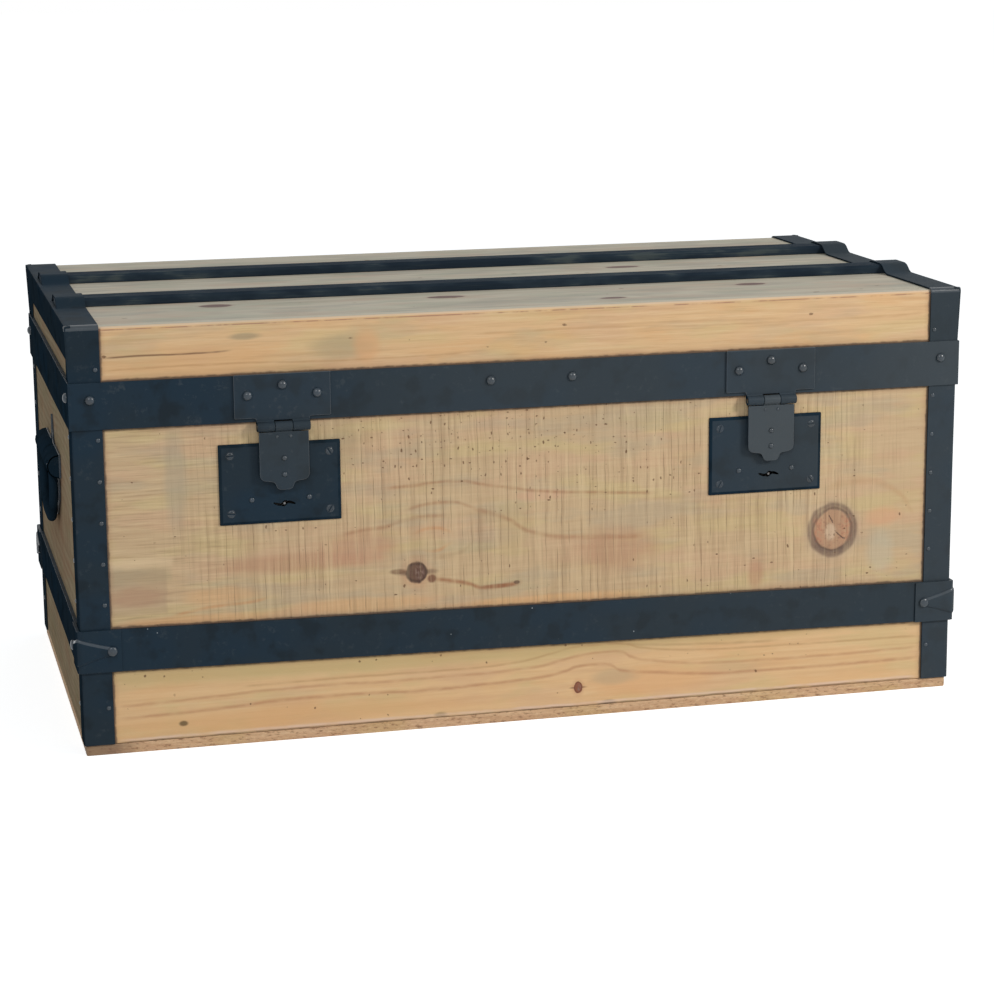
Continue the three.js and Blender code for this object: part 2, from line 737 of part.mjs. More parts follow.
function addHasp(lock) {
  const outer = knuckleY - haspThickness / 2;
  const inner = knuckleY + haspThickness / 2;
  const plate = prismY(haspOutline(lock.x), [outer, inner]);
  const span = knuckleSpan(lock.x, knuckleWidth, 1);
  const tab = block(span, [outer, inner], [knuckleHeight - knuckleRadius - overrun, knuckleHeight]);
  const bore = hingeBore(lock.x, knuckleY, knuckleHeight, knuckleWidth, knucklePinRadius);
  const turn = knuckle(lock.x, knuckleY, knuckleHeight, knuckleWidth, 1, knuckleRadius, knucklePinRadius);
  const rivets = [stapleTopHeight, stapleBottomHeight].map((height) => head(
    [lock.x, outer, height], [0, -1, 0], haspRivetRadius, haspRivetHeight,
  ));
  const legs = [stapleTopHeight, stapleBottomHeight].map((height) => bar(
    [lock.x, knuckleY, height], [lock.x, stapleY - stapleRadius, height], stapleRadius, headSides,
  ));
  const crown = block(
    [lock.x - stapleRadius, lock.x + stapleRadius],
    [stapleY - 2 * stapleRadius, stapleY],
    [stapleBottomHeight - stapleRadius, stapleTopHeight + stapleRadius],
  );
  const hasp = join(cut(join(plate, tab), bore), turn, crown, ...legs, ...rivets);
  place(lid, `hasp_${lock.name}`, hasp, "paintedSteel");
}

// Lock plate, case and bolt

function bevelledPlate(x, width, [z0, z1], thickness, bevel, back) {
  const half = width / 2;
  const shape = shapeOf([[x - half, z0], [x + half, z0], [x + half, z1], [x - half, z1]]);
  const geometry = new THREE.ExtrudeGeometry(shape, {
    depth: thickness,
    bevelThickness: thickness / 2,
    bevelSize: bevel,
    bevelOffset: -bevel,
    bevelSegments: 1,
  });
  geometry.rotateX(Math.PI / 2);
  geometry.translate(0, back + thickness / 2, 0);
  const whole = solidOf(geometry);
  const front = [back - thickness - overrun, back];
  return whole.intersect(block([x - width, x + width], front, [z0 - overrun, z1 + overrun]));
}

function addLock(lock) {
  const back = -woodHalfDepth - seat;
  const out = back - lockPlateThickness;
  const plate = bevelledPlate(
    lock.plateX, lockPlateWidth, [lockPlateBottom, lockPlateTop], lockPlateThickness, lockPlateBevel, back,
  );
  const through = [out - overrun, back + overrun];
  const slot = block(
    [lock.x - slotWidth / 2, lock.x + slotWidth / 2],
    through,
    [stapleBottomHeight - stapleRadius - slotSweep, stapleTopHeight + stapleRadius + slotClearance],
  );
  const keyholeCut = block(
    [lock.x - keyholeWidth / 2, lock.x + keyholeWidth / 2],
    through,
    [keyholeHeight - keyholeSlot / 2, keyholeHeight + keyholeSlot / 2],
  );
  const keyholeRound = bar(
    [lock.x, through[0], keyholeHeight], [lock.x, through[1], keyholeHeight], keyholeRadius,
  );
  const screwX = lockPlateWidth / 2 - screwInset;
  const screwRows = [lockPlateBottom + screwInset, lockPlateTop - screwInset];
  const screws = [-screwX, screwX].flatMap((shift) => screwRows.map(
    (height) => head([lock.plateX + shift, out, height], [0, -1, 0], screwRadius, screwHeight),
  ));
  const rivets = [-1, 1].map((side) => head(
    [lock.plateX + (side * plateRivetSpacing) / 2, out, keyholeHeight + plateRivetRise],
    [0, -1, 0],
    plateRivetRadius,
    plateRivetHeight,
  ));
  const face = join(cut(plate, slot, keyholeCut, keyholeRound), ...screws, ...rivets);
  place(body, `lock_plate_${lock.name}`, face, "paintedSteel");

  // The case is a tray in the board's mortise, closed by the lock plate
  const caseHalf = caseWidth / 2;
  const caseX = [lock.plateX - caseHalf, lock.plateX + caseHalf];
  const tray = cut(
    block(caseX, [-woodHalfDepth, caseInnerY], [caseBottom, caseTop]),
    block(
      [caseX[0] + caseWall, caseX[1] - caseWall],
      [-woodHalfDepth - overrun, caseInnerY - caseWall],
      [caseBottom + caseWall, caseTop - caseWall],
    ),
  );
  const boltZ = (stapleTopHeight + stapleBottomHeight) / 2;
  const boltFrom = lock.x + stapleRadius + boltSetback;
  const eyeIn = stapleY - 2 * stapleRadius;
  const boltY = (back + eyeIn) / 2;
  const guide = block(
    [boltFrom + boltSetback, caseX[1] - caseWall / 2],
    [boltY - boltWidth / 2, caseInnerY - caseWall / 2],
    [boltZ - boltHeight, boltZ - boltHeight / 2 - seat],
  );
  const keyPin = bar(
    [lock.x, caseInnerY - caseWall / 2, keyholeHeight], [lock.x, out, keyholeHeight], keyPinRadius, headSides,
  );
  place(body, `lock_case_${lock.name}`, join(tray, guide, keyPin), "bareSteel");

  const bolt = block(
    [boltFrom, caseX[1] - caseWall - seat],
    [boltY - boltWidth / 2, boltY + boltWidth / 2],
    [boltZ - boltHeight / 2, boltZ + boltHeight / 2],
  );
  place(body, `lock_bolt_${lock.name}`, bolt, "bareSteel");
}

// Rear hinges of the lid

function rearLeaf(x, up) {
  const bandFace = halfDepth + bandOut + seat;
  const flat = barrelRadius + leafSetback;
  const reach = up > 0 ? lidBandTop - seamHeight : seamHeight - lidBandBottom;
  const near = seamHeight + up * flat;
  const far = seamHeight + up * (reach - leafMargin);
  const y = [bandFace, bandFace + leafThickness];
  const half = leafWidth / 2;
  const plate = block([x - half, x + half], y, [near, far]);
  const indexes = up > 0 ? [1] : [0, 2];
  const tabs = indexes.map((index) => block(
    knuckleSpan(x, leafWidth, index),
    y,
    [seamHeight + (up * barrelRadius) / 2, near + up * leafSetback],
  ));
  const turns = indexes.map((index) => knuckle(
    x, barrelY, seamHeight, leafWidth, index, barrelRadius, barrelPinRadius,
  ));
  const rivets = [-1, 0, 1].map((side) => head(
    [x + (side * leafRivetSpacing) / 2, y[1], (near + far) / 2], [0, 1, 0], leafRivetRadius, leafRivetHeight,
  ));
  const bore = hingeBore(x, barrelY, seamHeight, leafWidth, barrelPinRadius);
  return join(cut(join(plate, ...tabs), bore), ...turns, ...rivets);
}

function addRearHinges() {
  for (const end of ends) {
    const x = end.side * rearHingeOffset;
    place(body, `rear_hinge_body_leaf_${end.name}`, rearLeaf(x, -1), "paintedSteel");
    place(lid, `rear_hinge_lid_leaf_${end.name}`, rearLeaf(x, 1), "paintedSteel");
    const half = leafWidth / 2 - knuckleGap;
    const pin = bar([x - half, barrelY, seamHeight], [x + half, barrelY, seamHeight], barrelPinRadius);
    place(body, `rear_hinge_pin_${end.name}`, pin, "bareSteel");
  }
}

// Drop handles

function handlePlateOutline() {
  const half = hoodWidth / 2;
  const high = handleHeight + hoodHeight / 2;
  const low = handleHeight - hoodHeight / 2;
  const root = handlePointWidth / 2;
  const bend = root * handlePointCurveShare;
  const kneeHalf = handleKneeWidth / 2;
  const knee = handleHeight - ringStraight;
  const footHalf = handleFootWidth / 2;
  const foot = handleHeight - handleFootDrop;
  const shape = new THREE.Shape();
  shape.moveTo(-half, low);
  shape.quadraticCurveTo(-kneeHalf, low, -kneeHalf, knee);
  shape.lineTo(-footHalf, foot);
  shape.lineTo(footHalf, foot);
  shape.lineTo(kneeHalf, knee);
  shape.quadraticCurveTo(kneeHalf, low, half, low);
  shape.lineTo(half, high);
  shape.lineTo(root, high);
  shape.quadraticCurveTo(bend, high, 0, handleHeight + handlePointRise);
  shape.quadraticCurveTo(-bend, high, -root, high);
  shape.lineTo(-half, high);
  shape.closePath();
  return new THREE.Shape(shape.getPoints(bendSteps));
}

// The hood's rounded section as [x, z] points, on a plate whose outer face is at x
function hoodOutline(x, side) {
  const reach = 2 * (ringRadius + ringRunning) + hoodWall;
  const root = x - side * sink;
  const points = [[root, handleHeight + hoodHeight / 2], [root, handleHeight - hoodHeight / 2]];
  for (let step = 0; step <= hoodSteps; step += 1) {
    const angle = (step / hoodSteps - 1 / 2) * Math.PI;
    points.push([x + side * reach * Math.cos(angle), handleHeight + (hoodHeight / 2) * Math.sin(angle)]);
  }
  return points;
}

function addHandle(end) {
  const inner = end.side * (woodHalfWidth + seat);
  const outer = inner + end.side * handlePlateThickness;
  const axisX = end.side * ringOut;
  const ringHalf = ringWidth / 2;
  const armRoom = ringRadius + ringSideGap;
  const plate = prismX(handlePlateOutline(), [inner, outer]);
  const hood = prismY(hoodOutline(outer, end.side), [-hoodWidth / 2, hoodWidth / 2]);
  const bore = bar(
    [axisX, -ringHalf - armRoom, handleHeight],
    [axisX, ringHalf + armRoom, handleHeight],
    ringRadius + ringRunning,
  );

  // The ring's arms leave the hood by two slots, whose upper ends stop them when they stand straight out
  const armSlots = [-ringHalf, ringHalf].map((y) => block(
    [outer, outer + end.side * (hoodHeight + overrun)],
    [y - armRoom, y + armRoom],
    [handleHeight - hoodHeight, handleHeight + ringRadius + ringRunning],
  ));
  place(body, `handle_plate_${end.name}`, join(plate, cut(hood, bore, ...armSlots)), "paintedSteel");

  const knee = handleHeight - ringStraight;
  const foot = ringFootWidth / 2;
  const low = handleHeight - ringFootDrop;
  const corners = [
    [axisX, -ringHalf, handleHeight],
    [axisX, -ringHalf, knee],
    [axisX, -foot, low],
    [axisX, foot, low],
    [axisX, ringHalf, knee],
    [axisX, ringHalf, handleHeight],
  ];
  const rods = corners.map((corner, index) => bar(corner, corners[(index + 1) % corners.length], ringRadius));
  const balls = corners.map((corner) => ball(corner, ringRadius));
  place(body, `handle_ring_${end.name}`, join(...rods, ...balls), "paintedSteel");
}

addBodyBoards();
addCornerAngles();
addLowerBand();
addCornerClamps();
addLidBoards();
addEndStrips();
addLidBand();
locks.forEach(addHaspHinge);
locks.forEach(addHasp);
locks.forEach(addLock);
addRearHinges();
ends.forEach(addHandle);

export default chest;
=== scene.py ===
"""A pine sea chest with a flat lid, bound in painted sheet steel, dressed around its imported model.

Lengths are in millimetres until a mesh is written. +Z is up, +X is the chest's right end
and its front faces -Y. Heights over a face are measured outwards from the chest's middle.
"""

import math
from functools import partial

import bmesh
import bpy
from mathutils import Matrix, Vector, geometry, noise


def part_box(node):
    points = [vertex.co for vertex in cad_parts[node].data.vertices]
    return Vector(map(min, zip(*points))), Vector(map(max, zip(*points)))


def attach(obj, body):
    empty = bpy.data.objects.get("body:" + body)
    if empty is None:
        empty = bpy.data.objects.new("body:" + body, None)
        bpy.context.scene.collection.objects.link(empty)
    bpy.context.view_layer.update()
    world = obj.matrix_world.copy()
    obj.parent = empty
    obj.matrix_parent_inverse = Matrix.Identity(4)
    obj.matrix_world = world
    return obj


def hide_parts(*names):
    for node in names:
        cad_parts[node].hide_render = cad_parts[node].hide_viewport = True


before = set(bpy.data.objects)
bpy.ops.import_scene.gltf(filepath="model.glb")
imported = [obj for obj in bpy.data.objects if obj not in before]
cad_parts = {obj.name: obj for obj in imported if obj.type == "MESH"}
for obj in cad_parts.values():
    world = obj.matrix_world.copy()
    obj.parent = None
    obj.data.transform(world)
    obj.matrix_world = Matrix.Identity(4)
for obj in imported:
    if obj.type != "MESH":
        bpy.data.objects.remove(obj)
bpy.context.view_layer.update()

METRES = 0.001
ENDS = {"left": -1, "right": 1}
FACES = {"front": -1, "rear": 1}


def span(node):
    """The lowest and highest corner of a CAD node, in millimetres."""
    low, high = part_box(node)
    return low / METRES, high / METRES


# Sheet steel
STEEL = 1.6
SEAT = 0.3
EDGE = 0.5
END_EDGE = 0.3
EDGE_STEPS = 2
PLATE_EDGE = 0.6
PLATE_EDGE_STEPS = 3
BEND = 2.4
SINK = 0.4
STATION = 12
ANGLE_LEG = 29

# Places of the main parts, read from the CAD nodes
BOARD_HIGH = span("front_board_upper")[1]
LID_TOP = span("lid_plank_2")[1].z
LID_BOTTOM = span("lid_front_board")[0].z
WOOD_HALF_WIDTH = BOARD_HIGH.x
WOOD_HALF_DEPTH = span("rear_board_upper")[1].y
HALF_WIDTH = WOOD_HALF_WIDTH + SEAT + STEEL
HALF_DEPTH = WOOD_HALF_DEPTH + SEAT + STEEL
BAND_BACK = SEAT
BAND_FRONT = SEAT + STEEL
LID_BAND_LOW = span("lid_band_front")[0].z
LID_BAND_HIGH = span("lid_band_front")[1].z
LOWER_BAND_LEFT = sum(corner.z for corner in span("lower_band_left")) / 2
LOWER_BAND_RIGHT = sum(corner.z for corner in span("lower_band_right")) / 2
LOWER_BAND_WIDTH = span("lower_band_left")[1].z - span("lower_band_left")[0].z
BOTTOM_TOP = span("bottom_plank_1")[1].z

# Rivets and nails
ROUND_SIDES = 28
RIVET = (4.7, 3.4)
NAIL = (2.2, 1.1)
DOME_STEPS = 6
DOME_TURN = 0.93


# Outlines

def tuned(points):
    return [Vector(point) for point in points]


def rounded(points, radii, steps=4, closed=True):
    """The points with each corner rounded off by a curve that starts and ends a radius away from it."""
    points = tuned(points)
    if not isinstance(radii, (list, tuple)):
        radii = [radii] * len(points)
    line = []
    for index, (corner, radius) in enumerate(zip(points, radii)):
        is_end = not closed and index in (0, len(points) - 1)
        if radius == 0 or is_end:
            line.append(corner)
            continue
        start = corner + (points[index - 1] - corner).normalized() * radius
        end = corner + (points[(index + 1) % len(points)] - corner).normalized() * radius
        for step in range(steps + 1):
            share = step / steps
            line.append(start.lerp(corner, share).lerp(corner.lerp(end, share), share))
    return line


def rectangle(low, high, radius):
    corners = [(low[0], low[1]), (high[0], low[1]), (high[0], high[1]), (low[0], high[1])]
    return rounded(corners, radius)


def circle(centre, radius, sides=ROUND_SIDES):
    turns = [2 * math.pi * side / sides for side in range(sides)]
    x, y = centre
    return [Vector((x + radius * math.cos(turn), y + radius * math.sin(turn))) for turn in turns]


def signed_area(loop):
    pairs = zip(loop, loop[1:] + loop[:1])
    return sum(a.x * b.y - b.x * a.y for a, b in pairs) / 2


def turned_left(loop):
    """The loop in the order that keeps its inside on the left."""
    return loop if signed_area(loop) > 0 else loop[::-1]


def inset(loop, distance):
    """The loop moved to its left by a distance."""
    if distance == 0:
        return loop
    moved = []
    for index, point in enumerate(loop):
        before = (point - loop[index - 1]).normalized()
        after = (loop[(index + 1) % len(loop)] - point).normalized()
        left = Vector((-before.y - after.y, before.x + after.x))
        moved.append(point + left * (distance / max(1 + before.dot(after), 0.4)))
    return moved


def along_path(path):
    """Each point of an open line, with the line's direction there and the direction to its left."""
    for index, point in enumerate(path):
        along = (path[min(index + 1, len(path) - 1)] - path[max(index - 1, 0)]).normalized()
        yield point, along, Vector((-along.y, along.x))


def sheet_section(path, thickness):
    """The outline of a bent sheet whose middle follows a line of points."""
    half = thickness / 2
    sides = [[point + normal * reach for point, _, normal in along_path(path)] for reach in (half, -half)]
    return turned_left(sides[0] + sides[1][::-1])


def angle_section(first, second, sheet, outer=BEND, inner=EDGE):
    """The section of a steel angle with its corner at the origin, and the lengths of its two legs."""
    legs = [(0, 0), (first, 0), (first, sheet), (sheet, sheet), (sheet, second), (0, second)]
    return rounded(legs, [outer, EDGE, EDGE, inner, EDGE, EDGE])


def mirrored(half, radii, x=0, steps=4):
    """A rounded outline from one half of it, which may start on the mirror line at x."""
    last = 0 if half[0][0] == 0 else None
    points = half + [(-u, v) for u, v in half[:last:-1]]
    return rounded([(x + u, v) for u, v in points], radii + radii[:last:-1], steps)


def rounded_rims(back, front, edge=EDGE, steps=EDGE_STEPS):
    """How a plate's outline goes from its back to its front: (inset, height) pairs, with a rounded edge."""
    rims = [(0, back)]
    for step in range(steps + 1):
        turn = math.pi / 2 * step / steps
        rims.append((edge * (1 - math.cos(turn)), front - edge * (1 - math.sin(turn))))
    return rims


def no_wave(distance):
    return 0, 0


def slight_wave(seed, size, length=110):
    """A gentle unevenness along a strip, as hand-fitted sheet has."""
    def wave(distance):
        place = Vector((distance / length, seed, 0.5))
        return tuple(size * noise.noise(place + Vector((0, 0, axis * 7.3))) for axis in (0, 1))
    return wave


# Places on the faces: (across, up, height over the middle of the chest) to a point

def on_front(u, v, height):
    return Vector((u, -height, v))


def on_rear(u, v, height):
    return Vector((u, height, v))


def on_end(side):
    return lambda u, v, height: Vector((side * height, u, v))


def on_face(side):
    return on_front if side < 0 else on_rear


PAINTED, RUBBED, SHADED_MATT = 0, 1, 2
SIDEWAYS = 0.8
SMOOTH_TURN = 50


def quads(rows, size, start=0, ring=False):
    """The faces between equal loops of points, the first of which begins at start."""
    faces = []
    for row in range(rows if ring else rows - 1):
        here, there = start + row * size, start + (row + 1) % rows * size
        for column in range(size):
            after = (column + 1) % size
            faces.append([here + column, here + after, there + after, there + column])
    return faces


class Shells:
    """Closed shells that together make one piece.
    Each face is painted, or rubbed where hands and tools touch it."""

    def __init__(self):
        self.points = []
        self.faces = []
        self.tones = []

    def add(self, points, faces, tone=PAINTED):
        start = len(self.points)
        self.points.extend(points)
        self.faces.extend([start + index for index in face] for face in faces)
        self.tones.extend([tone] * len(faces))

    def loft(self, loops, ring=False, tone=PAINTED, is_rubbed=None):
        """Skins equal loops. The first and last are capped, or joined to each other.
        is_rubbed says of a face's row and column whether it is rubbed."""
        size = len(loops[0])
        first = len(self.faces)
        faces = quads(len(loops), size, ring=ring)
        if not ring:
            faces.append(list(range(size)))
            faces.append(list(range((len(loops) - 1) * size, len(loops) * size)))
        self.add([point for loop in loops for point in loop], faces, tone)
        for index in range((len(loops) - 1) * size):
            if is_rubbed and is_rubbed(*divmod(index, size)):
                self.tones[first + index] = RUBBED

    def turned(self, profile, origin, axis, ring=False, tone=PAINTED):
        """(radius, height) points turned round an axis."""
        turn = Vector((0, 0, 1)).rotation_difference(Vector(axis))
        loops = []
        for radius, height in profile:
            flat = circle((0, 0), radius)
            loops.append([Vector(origin) + turn @ Vector((point.x, point.y, height)) for point in flat])
        self.loft(loops, ring, tone)

    def dome(self, origin, axis, size):
        """A rivet's or nail's head."""
        radius, height = size
        profile = [(radius, -SINK)]
        for step in range(DOME_STEPS + 1):
            turn = math.pi / 2 * DOME_TURN * step / DOME_STEPS
            profile.append((radius * math.cos(turn), height * math.sin(turn)))
        self.turned(profile, origin, axis, tone=RUBBED)

    def heads(self, place, spots, height, size):
        """Domes on a face, at (across, up) spots."""
        for u, v in spots:
            self.dome(place(u, v, height), place(0, 0, 1), size)

    def plate(self, outline, rims, place, holes=(), hole_rims=(), rim_tone=RUBBED):
        """A flat plate. Its outline goes through the rims' insets and heights, and its holes through theirs.
        An outline may also be a function that gives the loop at an inset."""
        sides = [(outline if callable(outline) else partial(inset, turned_left(outline)), rims)]
        sides += [(partial(inset, turned_left(hole)[::-1]), hole_rims) for hole in holes]
        points, faces, caps = [], [], ([], [])
        for loop_at, steps in sides:
            start, size = len(points), len(loop_at(0))
            for distance, height in steps:
                points.extend(place(*point, height) for point in loop_at(distance))
            faces += quads(len(steps), size, start)
            for cap, row in zip(caps, (0, len(steps) - 1)):
                cap.extend(range(start + row * size, start + (row + 1) * size))
        start = len(self.points)
        self.add(points, faces, rim_tone)
        for cap, row in zip(caps, (0, -1)):
            flat = [[point.to_3d() for point in loop_at(steps[row][0])] for loop_at, steps in sides]
            triangles = geometry.tessellate_polygon(flat)
            self.faces.extend([start + cap[index] for index in face] for face in triangles)
            self.tones.extend([PAINTED] * len(triangles))

    def extrude(self, section, low, high, place, wave=no_wave, edge=END_EDGE):
        """Carries a section from low to high, with rounded ends; place puts (u, v, distance) in space."""
        section = turned_left(section)
        count = max(1, round((high - low) / STATION))
        stations = [(low + (high - low) * step / count, 0) for step in range(1, count)]
        for end, inward in ((low, 1), (high, -1)):
            for step in range(EDGE_STEPS + 1):
                angle = math.pi / 2 * step / EDGE_STEPS
                stations.append((end + inward * edge * (1 - math.cos(angle)), edge * (1 - math.sin(angle))))
        loops = []
        for distance, shrink in sorted(stations):
            du, dv = wave(distance)
            loops.append([place(point.x + du, point.y + dv, distance) for point in inset(section, shrink)])
        self.loft(loops)

    def barrel(self, centre, x0, x1, radius, bore):
        """A hinge knuckle along X round a (y, z) centre."""
        profile = [(bore, x0), (radius - EDGE, x0), (radius, x0 + EDGE)]
        profile += [(radius, x1 - EDGE), (radius - EDGE, x1), (bore, x1)]
        self.turned(profile, (0, *centre), (1, 0, 0), ring=True)

    def tube(self, path, radius, closed=False, sides=16):
        """A round bar along a line of points."""
        count = len(path)
        normal = None
        loops = []
        for index, point in enumerate(path):
            before = path[index - 1] if closed or index else point
            after = path[(index + 1) % count] if closed or index < count - 1 else point
            along = (after - before).normalized()
            if normal is None:
                normal = along.orthogonal()
            normal = (normal - along * normal.dot(along)).normalized()
            side = along.cross(normal)
            loops.append([point + normal * flat.x + side * flat.y for flat in circle((0, 0), radius, sides)])
        if closed:
            loops[-1] = aligned(loops[-1], loops[0])
        self.loft(loops, closed)


def aligned(loop, target):
    """The loop started at the point that lies best against the target loop."""
    def gap(shift):
        return sum((loop[(index + shift) % len(loop)] - point).length for index, point in enumerate(target))
    best = min(range(len(loop)), key=gap)
    return loop[best:] + loop[:best]


def put_in_scene(name, data):
    """An object for some data, linked to the scene."""
    thing = bpy.data.objects.new(name, data)
    bpy.context.scene.collection.objects.link(thing)
    return thing


def make(node, kind, shells, body, materials, smooth=SMOOTH_TURN):
    """Turns shells into a piece that stands for a CAD node and rides on its body.
    Edges that turn by less than smooth degrees are shaded round. materials are for painted faces,
    for rubbed ones, and for painted ones that look sideways: a matt copy of the paint without gloss,
    which comes out darker as painted shade."""
    name = f"{node}_{kind}"
    mesh = bpy.data.meshes.new(name)
    mesh.from_pydata([point * METRES for point in shells.points], [], shells.faces)
    work = bmesh.new()
    work.from_mesh(mesh)
    bmesh.ops.recalc_face_normals(work, faces=work.faces)
    work.to_mesh(mesh)
    work.free()
    mesh.shade_smooth()
    mesh.set_sharp_from_angle(angle=math.radians(smooth))
    piece = put_in_scene(name, mesh)
    for material in materials:
        mesh.materials.append(material)
    for face, tone in zip(mesh.polygons, shells.tones):
        # Painted faces that look sideways take the matt copy of the paint, darker for lack of gloss: painted
        # shade.
        is_shaded_matt = tone == PAINTED and abs(face.normal.x) > SIDEWAYS
        face.material_index = SHADED_MATT if is_shaded_matt else tone
    piece.modifiers.new("normals", "WEIGHTED_NORMAL").keep_sharp = True
    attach(piece, body)
    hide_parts(node)


# Materials

def tint(red, green, blue):
    """A colour as a screen shows it, 0 to 255, in the linear values that shaders use."""
    def linear(value):
        share = value / 255
        return share / 12.92 if share <= 0.04045 else ((share + 0.055) / 1.055) ** 2.4
    return (linear(red), linear(green), linear(blue), 1)


def operation(name, is_swapped=False):
    """A way for a signal to add a math node of this name."""
    def method(self, *others):
        values = (self, *others)
        return self.shader.math(name, *(values[::-1] if is_swapped else values))
    return method


class Signal:
    """A number that a material's nodes work out. Arithmetic on it adds nodes."""

    __add__ = __radd__ = operation("ADD")
    __mul__ = __rmul__ = operation("MULTIPLY")
    __sub__ = operation("SUBTRACT")
    __rsub__ = operation("SUBTRACT", True)
    __truediv__ = operation("DIVIDE")
    __rtruediv__ = operation("DIVIDE", True)
    power = operation("POWER")
    size = operation("ABSOLUTE")
    root = operation("SQRT")
    part = operation("FRACT")
    least = operation("MINIMUM")

    def __init__(self, shader, socket):
        self.shader = shader
        self.socket = socket

    def rise(self, low, high, top=1.0):
        """Goes smoothly from 0 at low to top at high."""
        return self.step(low, high, 0.0, top)

    def fall(self, low, high, top=1.0):
        """Goes smoothly from top at low to 0 at high."""
        return self.step(low, high, top, 0.0)

    def step(self, low, high, start, end):
        inputs = {"Value": self, "From Min": low, "From Max": high, "To Min": start, "To Max": end}
        node = self.shader.node("MapRange", inputs, interpolation_type="SMOOTHSTEP")
        return Signal(self.shader, node.outputs["Result"])

    def hill(self, low, high, soft):
        """1 between low and high, with soft flanks."""
        return self.rise(low - soft, low + soft) * self.fall(high - soft, high + soft)


class Nodes:
    """The nodes of a material or a world, built from here."""

    def __init__(self, owner):
        owner.use_nodes = True
        self.tree = owner.node_tree
        self.tree.nodes.clear()

    def node(self, kind, inputs=None, **settings):
        """Adds a node. An input is a value, a signal, a socket, or a node whose first output is taken."""
        node = self.tree.nodes.new("ShaderNode" + kind)
        for key, value in settings.items():
            setattr(node, key, value)
        for key, value in (inputs or {}).items():
            source = value.socket if isinstance(value, Signal) else value
            if isinstance(source, bpy.types.Node):
                source = source.outputs[0]
            if isinstance(source, bpy.types.NodeSocket):
                self.tree.links.new(source, node.inputs[key])
            else:
                node.inputs[key].default_value = source
        return node


class Shader(Nodes):
    """A material as its layers build it up: its colour, roughness and relief.
    Relief and places are in millimetres."""

    def __init__(self, name):
        self.material = bpy.data.materials.new(name)
        super().__init__(self.material)
        place = self.node("TexCoord").outputs["Object"]
        scaled = self.node("VectorMath", {0: place, "Scale": 1 / METRES}, operation="SCALE")
        split = self.node("SeparateXYZ", {0: scaled})
        self.x, self.y, self.z = (Signal(self, split.outputs[axis]) for axis in range(3))

    def begin(self, colour, roughness, height):
        self.colour = colour
        self.roughness = roughness
        self.height = height

    def lay_out(self, along, across, depth):
        """Sets what a board's layers share: its axes, its plane, and noises that roughen their shapes."""
        self.along, self.across, self.depth = along, across, depth
        self.plane = self.vector(along, across, 0.0)
        self.ragged = self.noise(along / 22, across / 11, depth / 40, detail=3) - 0.5
        self.wobble = self.noise(along / 28, across / 14, 3.3, detail=2) - 0.5
        self.gaps = self.noise(along / 20, across / 9, 7.1, detail=2).rise(0.25, 0.6, 0.6) + 0.4

    def paint(self, share, colour):
        self.colour = self.mix(share, self.colour, colour)

    def carve(self, share, depth):
        self.height = self.height - share * depth

    def math(self, operation, *values):
        return Signal(self, self.node("Math", dict(enumerate(values)), operation=operation).outputs[0])

    def vector(self, x, y, z):
        return self.node("CombineXYZ", {0: x, 1: y, 2: z}).outputs[0]

    def noise(self, x, y, z, detail=1.0, roughness=0.5):
        """Cloudy values round a half; one unit is about one cloud."""
        inputs = {"Vector": self.vector(x, y, z), "Scale": 1.0, "Detail": detail, "Roughness": roughness}
        return Signal(self, self.node("TexNoise", inputs).outputs[0])

    def shake(self, x, y, z, detail, reach):
        """Noise from about minus half a reach to half a reach."""
        return (self.noise(x, y, z, detail=detail) - 0.5) * reach

    def cells(self, *place):
        """Distance to the nearest of scattered points in 2 or 3 dimensions, and two random numbers of it."""
        flat = len(place) == 2
        inputs = {"Vector": self.vector(*place, *([0.0] if flat else [])), "Scale": 1.0}
        node = self.node("TexVoronoi", inputs, voronoi_dimensions="2D" if flat else "3D")
        split = self.node("SeparateColor", {0: node.outputs["Color"]})
        return [Signal(self, socket) for socket in (node.outputs["Distance"], *split.outputs[:2])]

    def borders(self, place):
        """Distance to the border between scattered cells along a line."""
        settings = {"voronoi_dimensions": "1D", "feature": "DISTANCE_TO_EDGE"}
        node = self.node("TexVoronoi", {"W": place, "Scale": 1.0}, **settings)
        return Signal(self, node.outputs["Distance"])

    def curve(self, value, points):
        """A smooth line through (value, result) points."""
        first, last = points[0][0], points[-1][0]
        results = [result for _, result in points]
        low, reach = min(results), max(results) - min(results)
        node = self.node("FloatCurve", {"Value": (value - first) / (last - first)})
        line = node.mapping.curves[0]
        for _ in points[2:]:
            line.points.new(0.5, 0.5)
        for bend, (place, result) in zip(line.points, points):
            bend.location = ((place - first) / (last - first), (result - low) / reach)
        node.mapping.update()
        return Signal(self, node.outputs["Value"]) * reach + low

    def far_from(self, place, reach):
        """Distance over the board's face from a place on it, counted in reaches along each axis."""
        scale = (1 / reach[0], 1 / reach[1], 0)
        shift = (-place[0] / reach[0], -place[1] / reach[1], 0)
        moved = self.node("VectorMath", {0: self.plane, 1: scale, 2: shift}, operation="MULTIPLY_ADD")
        return Signal(self, self.node("VectorMath", {0: moved}, operation="LENGTH").outputs["Value"])

    def mix(self, share, first, second):
        inputs = {0: share, 6: first, 7: second}
        return self.node("Mix", inputs, data_type="RGBA", blend_type="MIX").outputs[2]

    def finish(self, specular, metallic=0.0):
        """Closes the material."""
        bump = self.node("Bump", {"Strength": 1.0, "Distance": METRES, "Height": self.height})
        surface = self.node("BsdfPrincipled", {
            "Base Color": self.colour,
            "Roughness": self.roughness,
            "Metallic": metallic,
            "Specular IOR Level": specular,
            "Normal": bump,
        })
        self.node("OutputMaterial", {0: surface})
        return self.material


# Pine

WOOD_SPECULAR = 0.28


